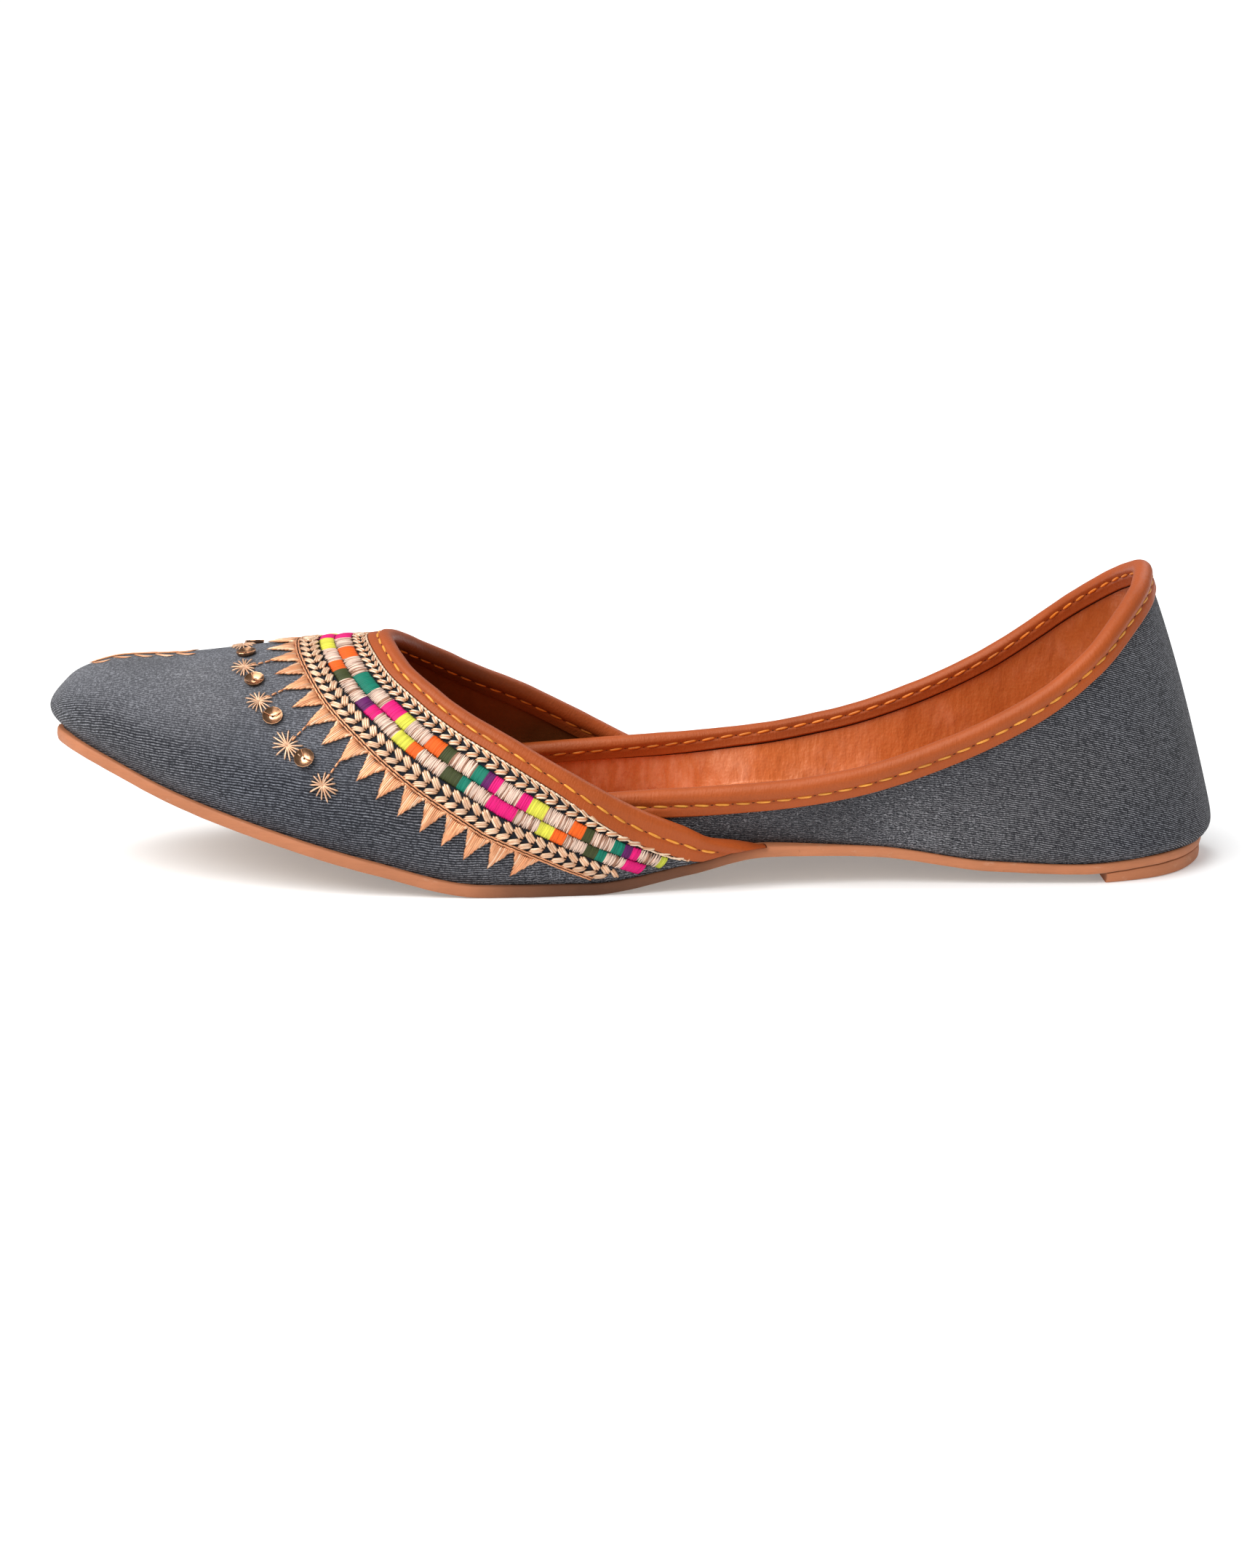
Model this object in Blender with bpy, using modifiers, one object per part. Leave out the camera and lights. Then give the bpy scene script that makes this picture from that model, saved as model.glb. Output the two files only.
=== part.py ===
"""Jutti: a flat slip-on shoe on a straight last, with an embroidered vamp.

Metres, +Z up, +X from the toe to the heel. The origin is on the floor under
the middle of the shoe. The two sides mirror each other across Y = 0.
"""

from collections import namedtuple

import bmesh
import bpy
import numpy as np
from mathutils import Vector

# Driving sizes; the middle is the place of the origin along the length
LENGTH = 0.2556
MIDDLE = 0.5016
BALL_WIDTH = 0.0796
INSTEP_HEIGHT = 0.0491
HEEL_HEIGHT = 0.0634
TOE_SPRING = 0.0265

# Thicknesses and clearances
WALL = 0.0018
STRAP = 0.0008
GAP = 0.0003
SOLE_AT_TOE = 0.0028
SOLE_AT_HEEL = 0.0021
SOLE_EDGE_ROUND = 0.0005
SOCK = 0.0012

# Heel lift: its front edge along the length, its edge inside the sole's
LIFT_FRONT = 0.8935
LIFT_INSET = 0.0002
LIFT_EDGE_ROUND = 0.0007
LIFT_STEPS = 14

# Bindings folded over the edges of the upper
FLAP_OUTSIDE = 0.0033
FLAP_INSIDE = 0.0030
INSIDE_GAP = 0.0005
EDGE_ANGLES = (0.0, 45.0, 90.0, 135.0, 180.0)
FOLD_ANGLES = (180.0, 90.0, 0.0)

# Embroidered border, measured over the vamp from the throat edge
BORDER_START = 0.0037
BORDER_END = 0.0188
BORDER_POINT = 0.0061
BORDER_HEIGHT = 0.0007
BORDER_GAP = 0.0005
BORDER_PITCH = 0.0052
BORDER_TIPS = 16
BORDER_LAST_SHARE = 0.80
BORDER_ROWS = 4

# Cup sequins, each ahead of one of the border's tips on either side
SEQUIN_TIPS = (1, 3, 5, 7)
SEQUIN_DISTANCE = 0.0297
SEQUIN_RADIUS = 0.0020
SEQUIN_CREST = 0.0012
SEQUIN_HEIGHT = 0.0010
SEQUIN_SIDES = 12

# Section shapes
CREST_SOFTNESS = 0.12
BELLY_ONSET = 0.028
BELLY_FULLNESS = 3.0

# Sampling
MILLIMETRE = 0.001
MERGE = 0.00001
TINY = 1e-7
DENSE_STEPS = 60
SOLE_STEPS = 3
LAST_STEPS = 4
THROAT_STEPS = 24
COLLAR_STEPS = 30
VAMP_SHARES = (0.0, 0.10, 0.20, 0.30, 0.40, 0.50, 0.60, 0.70, 0.79, 0.87, 0.94, 1.0)
DROP_WEIGHT = 4.0
WING_TIP = 0.8
MARCH_STEP = 0.001
NORMAL_STEP = 0.0002
SHARE_STEP = 0.01
QUARTER_HEIGHTS = (1.0, 0.84, 0.64, 0.44, 0.24, 0.11, 0.04, 0.0)
CUTTER_HALF_WIDTH = 0.060
CUTTER_DEPTH = 0.030

# Sole: place along the length, half width as a share of half the ball width,
# underside as a share of the toe spring, sock edge inside the sole edge
SoleRow = namedtuple("SoleRow", "along half rise inset")
SOLE = [
    SoleRow(0.0088, 0.000, 0.985, 0.0045),
    SoleRow(0.0228, 0.239, 0.972, 0.0045),
    SoleRow(0.0587, 0.458, 0.868, 0.0048),
    SoleRow(0.1213, 0.678, 0.638, 0.0052),
    SoleRow(0.1995, 0.854, 0.404, 0.0056),
    SoleRow(0.2856, 0.967, 0.185, 0.0062),
    SoleRow(0.3795, 1.000, 0.000, 0.0068),
    SoleRow(0.4656, 0.948, 0.000, 0.0068),
    SoleRow(0.5438, 0.868, 0.125, 0.0068),
    SoleRow(0.6142, 0.785, 0.249, 0.0068),
    SoleRow(0.7003, 0.722, 0.227, 0.0042),
    SoleRow(0.7942, 0.714, 0.106, 0.0037),
    SoleRow(0.8725, 0.705, 0.075, 0.0036),
    SoleRow(0.9311, 0.593, 0.106, 0.0036),
    SoleRow(0.9710, 0.357, 0.117, 0.0036),
    SoleRow(0.9914, 0.000, 0.117, 0.0036),
]

# Last under the vamp: place along the length, half width at the girth line as
# a share of half the ball width, crown over the girth line as a share of the
# instep height, girth line over the sole, foot drawn in under the girth line,
# roundness of the section
LastRow = namedtuple("LastRow", "along half rise belly tuck bend")
LAST = [
    LastRow(0.0035, 0.000, 0.000, 0.0043, 0.0026, 2.00),
    LastRow(0.0190, 0.250, 0.112, 0.0050, 0.0026, 2.00),
    LastRow(0.0559, 0.487, 0.228, 0.0062, 0.0025, 1.90),
    LastRow(0.1205, 0.716, 0.360, 0.0072, 0.0024, 1.80),
    LastRow(0.1987, 0.893, 0.521, 0.0079, 0.0024, 1.68),
    LastRow(0.2848, 1.009, 0.670, 0.0083, 0.0024, 1.60),
    LastRow(0.3787, 1.043, 0.830, 0.0083, 0.0024, 1.60),
    LastRow(0.4648, 0.995, 0.884, 0.0081, 0.0022, 1.60),
    LastRow(0.5430, 0.908, 0.878, 0.0060, 0.0012, 1.60),
    LastRow(0.6056, 0.836, 0.868, 0.0033, 0.0004, 1.60),
    LastRow(0.6500, 0.820, 0.862, 0.0020, 0.0002, 1.60),
]

# Throat edge of the vamp: place along the length, turn down from the crown in
# degrees, past the girth line in millimetres
ThroatRow = namedtuple("ThroatRow", "along turn")
THROAT = [
    ThroatRow(0.2896, 0.0),
    ThroatRow(0.3070, 25.7),
    ThroatRow(0.3393, 41.6),
    ThroatRow(0.4026, 59.2),
    ThroatRow(0.4650, 73.3),
    ThroatRow(0.5450, 88.6),
    ThroatRow(0.5890, 94.0),
    ThroatRow(0.6300, 98.5),
]

# Quarter wall from the back seam forward: foot on the sole, top edge, bulge
QuarterRow = namedtuple("QuarterRow", "foot_along foot_half top_along top_half top_height belly")
QUARTER = [
    QuarterRow(0.9927, 0.000, 0.9354, 0.000, 1.000, 0.0029),
    QuarterRow(0.9836, 0.219, 0.9276, 0.249, 0.967, 0.0029),
    QuarterRow(0.9558, 0.458, 0.9049, 0.513, 0.882, 0.0026),
    QuarterRow(0.9088, 0.642, 0.8717, 0.733, 0.759, 0.0022),
    QuarterRow(0.8521, 0.691, 0.8286, 0.817, 0.629, 0.0018),
    QuarterRow(0.7660, 0.696, 0.7582, 0.835, 0.483, 0.0012),
    QuarterRow(0.6800, 0.698, 0.6800, 0.841, 0.374, 0.0006),
    QuarterRow(0.6017, 0.682, 0.6017, 0.800, 0.319, 0.0002),
    QuarterRow(0.5000, 0.830, 0.5000, 0.765, 0.295, 0.0002),
    QuarterRow(0.4000, 0.905, 0.4000, 0.765, 0.267, 0.0002),
]

# Finishes: colour, roughness, metallic
Finish = namedtuple("Finish", "colour roughness metallic")
CLOTH = Finish((0.060, 0.070, 0.085), 0.85, 0.0)
BINDING_LEATHER = Finish((0.470, 0.215, 0.085), 0.50, 0.0)
SOLE_LEATHER = Finish((0.510, 0.270, 0.140), 0.70, 0.0)
SOCK_LEATHER = Finish((0.430, 0.190, 0.075), 0.55, 0.0)
THREAD = Finish((0.560, 0.330, 0.200), 0.40, 0.0)
COPPER = Finish((0.420, 0.210, 0.120), 0.25, 1.0)


def clear_scene():
    """Remove every object the scene starts with."""
    for item in list(bpy.data.objects):
        bpy.data.objects.remove(item, do_unlink=True)


def new_collection(name):
    """Collection linked to the scene."""
    group = bpy.data.collections.new(name)
    bpy.context.scene.collection.children.link(group)
    return group


def unit(vectors):
    """Vectors scaled to length one."""
    return vectors / np.maximum(np.linalg.norm(vectors, axis=-1, keepdims=True), TINY)


def row_past_end(edge, inner, fields, odd):
    """Row past an end: carried straight on, or mirrored with the odd columns negated."""
    if odd is None:
        return 2.0 * edge - inner
    signs = np.array([-1.0 if field in odd else 1.0 for field in fields])
    return inner * signs


def curve_through(rows, steps, first_odd=None, last_odd=None):
    """Columns sampled along a smooth curve through the rows, without overshoot.

    An end given column names closes on the mirror plane: those columns change
    sign past it and the others repeat, so the curve crosses it square on.
    """
    fields = rows[0]._fields
    table = np.array(rows, dtype=float)
    first = row_past_end(table[0], table[1], fields, first_odd)
    last = row_past_end(table[-1], table[-2], fields, last_odd)
    change = np.diff(np.vstack([first, table, last]), axis=0)
    product = change[:-1] * change[1:]
    total = change[:-1] + change[1:]
    slope = np.where(product > 0.0, 2.0 * product / np.where(product > 0.0, total, 1.0), 0.0)
    place = np.linspace(0.0, len(rows) - 1.0, (len(rows) - 1) * steps + 1)
    index = np.minimum(place.astype(int), len(rows) - 2)
    t = (place - index)[:, None]
    columns = (
        table[index] * (2.0 * t ** 3 - 3.0 * t ** 2 + 1.0)
        + table[index + 1] * (3.0 * t ** 2 - 2.0 * t ** 3)
        + slope[index] * (t ** 3 - 2.0 * t ** 2 + t)
        + slope[index + 1] * (t ** 3 - t ** 2)
    )
    return type(rows[0])(*columns.T)


def plan_heading(along, half):
    """Directions along an outline in plan, given its stations and half widths as shares."""
    steps = np.stack([np.gradient(along * LENGTH), np.gradient(half * BALL_WIDTH / 2.0)], axis=-1)
    steps[half == 0.0, 0] = 0.0
    return unit(steps)


SOLE_CURVE = curve_through(SOLE, DENSE_STEPS, ("half",), ("half",))
LAST_CURVE = curve_through(LAST, DENSE_STEPS, ("half", "rise"))
THROAT_CURVE = curve_through(THROAT, DENSE_STEPS, ("turn",))
QUARTER_CURVE = curve_through(QUARTER, DENSE_STEPS, ("foot_half", "top_half"))
LAST_HEADING = plan_heading(LAST_CURVE.along, LAST_CURVE.half)


def to_x(along):
    """X of a place along the length."""
    return (along - MIDDLE) * LENGTH


def look_up(curve, x):
    """Columns of a sampled curve at X."""
    along = x / LENGTH + MIDDLE
    return type(curve)(*[np.interp(along, curve.along, column) for column in curve])


def at_share(curve, share):
    """Columns of a sampled curve at a share of its rows."""
    shares = np.linspace(0.0, 1.0, len(curve[0]))
    return type(curve)(*[np.interp(share, shares, column) for column in curve])


def sole_under(x):
    """Height of the underside of the sole: spring at the toe, arch at the waist."""
    return look_up(SOLE_CURVE, x).rise * TOE_SPRING


def sole_over(x):
    """Height of the top face of the sole."""
    along = x / LENGTH + MIDDLE
    return sole_under(x) + SOLE_AT_TOE + (SOLE_AT_HEEL - SOLE_AT_TOE) * along


def vamp_point(x, turn):
    """Point on the outside of the vamp.

    Turn counts degrees from the crown to the girth line at 90; past 90 each
    unit is a millimetre of drop, where the wall tucks in toward the sole.
    """
    row = look_up(LAST_CURVE, x)
    half = np.maximum(row.half * BALL_WIDTH / 2.0, TINY)
    rise = np.maximum(row.rise * INSTEP_HEIGHT, TINY)
    girth = sole_over(x) + GAP + row.belly
    angle = np.radians(np.minimum(turn, 90.0))
    across = np.hypot(np.sin(angle), CREST_SOFTNESS * np.cos(angle)) / half
    upright = np.hypot(np.cos(angle), CREST_SOFTNESS * np.sin(angle)) / rise
    radius = (across ** row.bend + upright ** row.bend) ** (-1.0 / row.bend)
    drop = np.maximum(turn - 90.0, 0.0) * MILLIMETRE
    tuck = row.tuck * (drop / row.belly) ** 2
    heading_x = np.interp(x, to_x(LAST_CURVE.along), LAST_HEADING[:, 0])
    heading_y = np.interp(x, to_x(LAST_CURVE.along), LAST_HEADING[:, 1])
    y = radius * np.sin(angle) - heading_x * tuck
    z = girth + radius * np.cos(angle) - drop
    return np.stack([x + heading_y * tuck, y, z], axis=-1)


def vamp_turn(points):
    """Turn of the points' place on the vamp section at their X."""
    x = points[..., 0]
    girth = sole_over(x) + GAP + look_up(LAST_CURVE, x).belly
    above = points[..., 2] - girth
    angle = np.degrees(np.arctan2(np.abs(points[..., 1]), np.maximum(above, TINY)))
    return np.where(above > 0.0, angle, 90.0 - above / MILLIMETRE)


def vamp_normal(x, turn):
    """Outward direction of the vamp."""
    step = NORMAL_STEP
    along = vamp_point(x + step, turn) - vamp_point(x - step, turn)
    down = vamp_point(x, turn + step / MILLIMETRE) - vamp_point(x, turn - step / MILLIMETRE)
    return unit(np.cross(along, down))


def down_vamp(shares, distance):
    """Points and normals at a distance over the vamp from its throat edge."""
    step = 1.0 / len(THROAT_CURVE.turn)
    before = at_share(THROAT_CURVE, np.maximum(shares - step, 0.0))
    after = at_share(THROAT_CURVE, np.minimum(shares + step, 1.0))
    edge = at_share(THROAT_CURVE, shares)
    along = vamp_point(to_x(after.along), after.turn) - vamp_point(to_x(before.along), before.turn)
    along[shares == 0.0] = (0.0, 1.0, 0.0)
    points = vamp_point(to_x(edge.along), edge.turn)
    normals = vamp_normal(to_x(edge.along), edge.turn)
    heading = unit(np.cross(normals, along))
    count = int(np.ceil(distance / MARCH_STEP))
    for _ in range(count):
        points = points + heading * distance / count
        turn = vamp_turn(points)
        points = vamp_point(points[..., 0], turn)
        normals = vamp_normal(points[..., 0], turn)
        heading = unit(heading - normals * np.sum(heading * normals, axis=-1, keepdims=True))
    points[shares == 0.0, 1] = 0.0
    return points, normals


def quarter_point(shares, heights):
    """Point on the outside of the quarter, from its foot at height 0 to its top edge at 1."""
    row = at_share(QUARTER_CURVE, shares)
    half = BALL_WIDTH / 2.0
    foot_x = to_x(row.foot_along)
    foot = np.stack([foot_x, row.foot_half * half, sole_over(foot_x) + GAP], axis=-1)
    top = np.stack([to_x(row.top_along), row.top_half * half, row.top_height * HEEL_HEIGHT], axis=-1)
    step = 0.5 / len(QUARTER_CURVE.belly)
    ahead = at_share(QUARTER_CURVE, np.minimum(shares + step, 1.0))
    behind = at_share(QUARTER_CURVE, np.maximum(shares - step, 0.0))
    forward = to_x(ahead.foot_along) - to_x(behind.foot_along)
    sideways = (ahead.foot_half - behind.foot_half) * half
    outward = unit(np.stack([sideways, -forward, np.zeros_like(forward)], axis=-1))
    bulge = row.belly * (1.0 - heights ** BELLY_FULLNESS) * (1.0 - np.exp(-heights / BELLY_ONSET))
    return foot + (top - foot) * heights[..., None] + outward * bulge[..., None]


def down_quarter(shares, distance):
    """Points and normals at a distance down the quarter from its top edge."""
    whole = np.ones_like(shares)
    length = np.linalg.norm(quarter_point(shares, whole) - quarter_point(shares, 0.0 * whole), axis=-1)
    heights = 1.0 - distance / length
    forward = (
        quarter_point(np.minimum(shares + SHARE_STEP, 1.0), heights)
        - quarter_point(np.maximum(shares - SHARE_STEP, 0.0), heights)
    )
    forward[shares == 0.0] = (0.0, 1.0, 0.0)
    upward = quarter_point(shares, heights) - quarter_point(shares, heights - SHARE_STEP)
    points = quarter_point(shares, heights)
    points[shares == 0.0, 1] = 0.0
    return points, unit(np.cross(forward, upward))


def grid_faces(rows, columns, closed):
    """Quads of a grid of points; a closed grid joins its last column to its first."""
    faces = []
    for row in range(rows - 1):
        for column in range(columns if closed else columns - 1):
            following = (column + 1) % columns
            a = row * columns + column
            b = row * columns + following
            faces.append((a, b, b + columns, a + columns))
    return faces


def add_material(item, finish):
    """Give an object its own material."""
    material = bpy.data.materials.new(item.name)
    material.use_nodes = True
    shader = material.node_tree.nodes["Principled BSDF"]
    shader.inputs["Base Color"].default_value = (*finish.colour, 1.0)
    shader.inputs["Roughness"].default_value = finish.roughness
    shader.inputs["Metallic"].default_value = finish.metallic
    item.data.materials.append(material)


def new_part(name, points, faces, finish, group):
    """Object of welded faces with its own material."""
    mesh = bpy.data.meshes.new(name)
    mesh.from_pydata(points.reshape(-1, 3).tolist(), [], faces)
    body = bmesh.new()
    body.from_mesh(mesh)
    bmesh.ops.remove_doubles(body, verts=body.verts, dist=MERGE)
    body.to_mesh(mesh)
    body.free()
    item = bpy.data.objects.new(name, mesh)
    group.objects.link(item)
    if finish is not None:
        add_material(item, finish)
    return item


def loft(name, rings, finish, group, ends):
    """Closed body through rings of points; ends lists the rings that get a cap."""
    count, size = rings.shape[:2]
    faces = grid_faces(count, size, True)
    if "first" in ends:
        faces.append(tuple(range(size)))
    if "last" in ends:
        faces.append(tuple(range((count - 1) * size, count * size)))
    item = new_part(name, rings, faces, finish, group)
    body = bmesh.new()
    body.from_mesh(item.data)
    bmesh.ops.recalc_face_normals(body, faces=body.faces)
    body.to_mesh(item.data)
    body.free()
    return item


def slab_rings(x, half, low, high, low_round, high_round):
    """Eight-point cross sections of a slab: flat faces with its long edges eased."""
    low_half = np.maximum(half - low_round, 0.0)
    high_half = np.maximum(half - high_round, 0.0)
    y = np.stack([half, high_half, -high_half, -half, -half, -low_half, low_half, half], axis=-1)
    side_high = high - high_round
    side_low = low + low_round
    z = np.stack([side_high, high, high, side_high, side_low, low, low, side_low], axis=-1)
    return np.stack([np.repeat(x[:, None], 8, axis=1), y, z], axis=-1)


def mirror_across(item):
    """Complete a half across Y = 0."""
    modifier = item.modifiers.new("Mirror", "MIRROR")
    modifier.use_axis = (False, True, False)
    modifier.merge_threshold = MERGE
    return item


def thicken(item, thickness, inward):
    """Give a surface its wall, on the inside or the outside of its faces."""
    modifier = item.modifiers.new("Wall", "SOLIDIFY")
    modifier.thickness = thickness
    modifier.offset = -1.0 if inward else 1.0
    modifier.use_even_offset = True
    modifier.use_quality_normals = True
    return item


def trim(item, cutter):
    """Cut a body with another."""
    modifier = item.modifiers.new("Trim", "BOOLEAN")
    modifier.operation = "DIFFERENCE"
    modifier.solver = "EXACT"
    modifier.object = cutter
    return item


def build_outsole(group):
    """Thin sole: true outline, toe spring, arch and a flat under the ball."""
    row = curve_through(SOLE, SOLE_STEPS, ("half",), ("half",))
    x = to_x(row.along)
    half = row.half * BALL_WIDTH / 2.0
    edge = SOLE_EDGE_ROUND
    rings = slab_rings(x, half, sole_under(x), sole_over(x), edge, edge)
    return loft("outsole", rings, SOLE_LEATHER, group, ())


def build_heel_lift(group):
    """Flat lift under the back of the heel, wedge-shaped to the floor."""
    share = np.sin(np.linspace(0.0, np.pi / 2.0, LIFT_STEPS + 1))
    last = SOLE[-1].along - LIFT_INSET / LENGTH
    x = to_x(LIFT_FRONT + (last - LIFT_FRONT) * share)
    half = look_up(SOLE_CURVE, x + LIFT_INSET).half * BALL_WIDTH / 2.0
    half = np.where(share < 1.0, np.maximum(half - LIFT_INSET, 0.0), 0.0)
    top = sole_under(x) - GAP
    rings = slab_rings(x, half, np.zeros_like(x), top, LIFT_EDGE_ROUND, 0.0)
    return loft("heel_lift", rings, SOLE_LEATHER, group, ("first",))


def build_insole(group):
    """Leather sock on the sole, its outline drawn in from the sole edge to clear the walls."""
    row = curve_through(SOLE, SOLE_STEPS, ("half",), ("half",))
    x = to_x(row.along)
    half = row.half * BALL_WIDTH / 2.0
    heading = plan_heading(row.along, row.half)
    x = x + heading[:, 1] * row.inset
    half = np.maximum(half - heading[:, 0] * row.inset, 0.0)
    foot = sole_over(x) + GAP
    rings = slab_rings(x, half, foot, foot + SOCK, 0.0, 0.0)
    return loft("insole", rings, SOCK_LEATHER, group, ())


def build_vamp(group):
    """Front of the upper: last sections from the nose to the throat, then the two wings."""
    nose = curve_through(LAST, LAST_STEPS, ("half", "rise")).along
    edge = at_share(THROAT_CURVE, np.linspace(0.0, 1.0, THROAT_STEPS + 1))
    foot = 90.0 + look_up(LAST_CURVE, to_x(edge.along)).belly / MILLIMETRE
    kept = edge.turn < foot - WING_TIP
    along = np.concatenate([nose[nose < edge.along[0] - MERGE], edge.along[kept]])
    top = np.concatenate([np.zeros(np.sum(nose < edge.along[0] - MERGE)), edge.turn[kept]])
    x = to_x(along)
    drop = look_up(LAST_CURVE, x).belly / MILLIMETRE
    weighted_top = np.where(top > 90.0, 90.0 + (top - 90.0) * DROP_WEIGHT, top)
    weighted_foot = 90.0 + drop * DROP_WEIGHT
    weighted = weighted_foot[:, None] + (weighted_top - weighted_foot)[:, None] * np.array(VAMP_SHARES)
    turn = np.where(weighted > 90.0, 90.0 + (weighted - 90.0) / DROP_WEIGHT, weighted)
    points = vamp_point(np.repeat(x[:, None], len(VAMP_SHARES), axis=1), turn)
    points[0, :, 1] = 0.0
    faces = grid_faces(*points.shape[:2], False)
    item = new_part("upper_vamp", points, faces, CLOTH, group)
    return thicken(mirror_across(item), WALL, True)


def build_quarter(group):
    """Back of the upper: one wall round the heel, its ends inside the wings of the vamp."""
    shares = np.linspace(0.0, 1.0, COLLAR_STEPS + 1)
    heights = np.array(QUARTER_HEIGHTS)
    grid = np.meshgrid(shares, heights, indexing="ij")
    points = quarter_point(*grid)
    points[0, :, 1] = 0.0
    faces = grid_faces(*points.shape[:2], False)
    item = new_part("upper_quarter", points, faces, CLOTH, group)
    return thicken(mirror_across(item), WALL, True)


def binding_rings(down_wall, shares):
    """Folded strip round an edge: outside flap, rolled top, inside flap."""
    edge, normals = down_wall(shares, 0.0)
    below = down_wall(shares, MILLIMETRE)[0]
    upward = unit(edge - below)
    middle = edge - normals * WALL / 2.0
    skin = WALL / 2.0 + GAP + STRAP
    lining = WALL / 2.0 + GAP
    outside, outside_normals = down_wall(shares, FLAP_OUTSIDE)
    halfway, halfway_normals = down_wall(shares, FLAP_OUTSIDE / 2.0)
    inside, inside_normals = down_wall(shares, FLAP_INSIDE)
    ring = [
        outside + outside_normals * (GAP + STRAP),
        halfway + halfway_normals * (GAP + STRAP),
    ]
    for angle in np.radians(EDGE_ANGLES):
        ring.append(middle + (normals * np.cos(angle) + upward * np.sin(angle)) * skin)
    ring.append(inside - inside_normals * (WALL + INSIDE_GAP + STRAP))
    ring.append(inside - inside_normals * (WALL + INSIDE_GAP))
    for angle in np.radians(FOLD_ANGLES):
        ring.append(middle + (normals * np.cos(angle) + upward * np.sin(angle)) * lining)
    ring.append(halfway + halfway_normals * GAP)
    ring.append(outside + outside_normals * GAP)
    rings = np.stack(ring, axis=1)
    rings[0, :, 1] = 0.0
    return rings


def build_throat_binding(group, cutter):
    """Leather folded over the throat edge, its ends running down to the sole."""
    shares = np.linspace(0.0, 1.0, THROAT_STEPS + 1)
    rings = binding_rings(down_vamp, shares)
    item = half_tube("throat_binding", rings, BINDING_LEATHER, group)
    return trim(mirror_across(item), cutter)


def build_collar_binding(group):
    """Leather folded over the top edge of the quarter."""
    shares = np.linspace(0.0, 1.0, COLLAR_STEPS + 1)
    rings = binding_rings(down_quarter, shares)
    item = half_tube("collar_binding", rings, BINDING_LEATHER, group)
    return mirror_across(item)


def half_tube(name, rings, finish, group):
    """Tube open at the mirror plane and capped at its far end."""
    item = loft(name, rings, finish, group, ("first", "last"))
    body = bmesh.new()
    body.from_mesh(item.data)
    plane = [face for face in body.faces if all(abs(v.co.y) < MERGE for v in face.verts)]
    bmesh.ops.delete(body, geom=plane, context="FACES_ONLY")
    body.to_mesh(item.data)
    body.free()
    return item


def border_shares(places):
    """Shares of the throat beside places along the outer line of the border, counted from the crown."""
    dense = np.linspace(0.0, BORDER_LAST_SHARE, DENSE_STEPS)
    line = down_vamp(dense, BORDER_END)[0]
    run = np.concatenate([[0.0], np.cumsum(np.linalg.norm(np.diff(line, axis=0), axis=1))])
    return np.interp(places, run, dense, right=BORDER_LAST_SHARE)


def build_border(group, cutter):
    """Raised band of thread along the throat with a row of tips toward the toe."""
    step = BORDER_PITCH / 2.0
    places = np.arange(0.0, BORDER_PITCH * BORDER_TIPS * 2.0, step)
    shares = border_shares(places)
    kept = np.concatenate([[True], np.diff(shares) > 0.0])
    shares = shares[kept]
    order = np.arange(len(shares))
    tips = (order % 2 == 0) & (order <= 2 * BORDER_TIPS)
    rows = []
    for share in np.linspace(0.0, 1.0, BORDER_ROWS):
        points, normals = down_vamp(shares, BORDER_START + (BORDER_END - BORDER_START) * share)
        rows.append(points + normals * BORDER_GAP)
    points, normals = down_vamp(shares, BORDER_END + BORDER_POINT)
    rows.append(np.where(tips[:, None], points + normals * BORDER_GAP, rows[-1]))
    grid = np.stack(rows, axis=1)[:, ::-1]
    grid[0, :, 1] = 0.0
    faces = grid_faces(*grid.shape[:2], False)
    item = new_part("embroidered_border", grid, faces, THREAD, group)
    thicken(mirror_across(item), BORDER_HEIGHT, False)
    return trim(item, cutter)


def build_sequins(group):
    """Cup sequins standing on the vamp ahead of the border."""
    shares = border_shares(np.array(SEQUIN_TIPS) * BORDER_PITCH)
    points, normals = down_vamp(shares, SEQUIN_DISTANCE)
    number = 0
    for point, normal in zip(points, normals):
        for side in (-1.0, 1.0):
            number += 1
            flip = np.array([1.0, side, 1.0])
            bpy.ops.mesh.primitive_cone_add(
                vertices=SEQUIN_SIDES,
                radius1=SEQUIN_RADIUS,
                radius2=SEQUIN_CREST,
                depth=SEQUIN_HEIGHT,
                location=(point + normal * (GAP + SEQUIN_HEIGHT / 2.0)) * flip,
                rotation=Vector(normal * flip).to_track_quat("Z", "Y").to_euler(),
            )
            item = bpy.context.object
            item.name = f"sequin_{number}"
            for owner in list(item.users_collection):
                owner.objects.unlink(item)
            group.objects.link(item)
            add_material(item, COPPER)


def build_sole_cutter(group):
    """Body under the top face of the sole, wider than the shoe, that trims what reaches it."""
    row = curve_through(SOLE, SOLE_STEPS, ("half",), ("half",))
    x = to_x(row.along)
    half = np.full_like(x, CUTTER_HALF_WIDTH)
    low = np.full_like(x, -CUTTER_DEPTH)
    rings = slab_rings(x, half, low, sole_over(x) + GAP, 0.0, 0.0)
    item = loft("sole_cutter", rings, None, group, ("first", "last"))
    item.hide_render = True
    item.display_type = "WIRE"
    return item


def build():
    """Assemble the shoe."""
    clear_scene()
    parts = new_collection("jutti")
    cutters = new_collection("jutti_cutters")
    cutter = build_sole_cutter(cutters)
    build_outsole(parts)
    build_heel_lift(parts)
    build_insole(parts)
    build_vamp(parts)
    build_quarter(parts)
    build_throat_binding(parts, cutter)
    build_collar_binding(parts)
    build_border(parts, cutter)
    build_sequins(parts)


build()
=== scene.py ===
"""Jutti, dressed: slub denim upper, leather bindings, thread border, stars and cup sequins.

Metres, +Z up, +X from the toe to the heel. The two sides mirror each other
across Y = 0. Places on the vamp are given as a run along the border from the
ridge and a distance over the cloth from the throat edge.
"""

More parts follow.
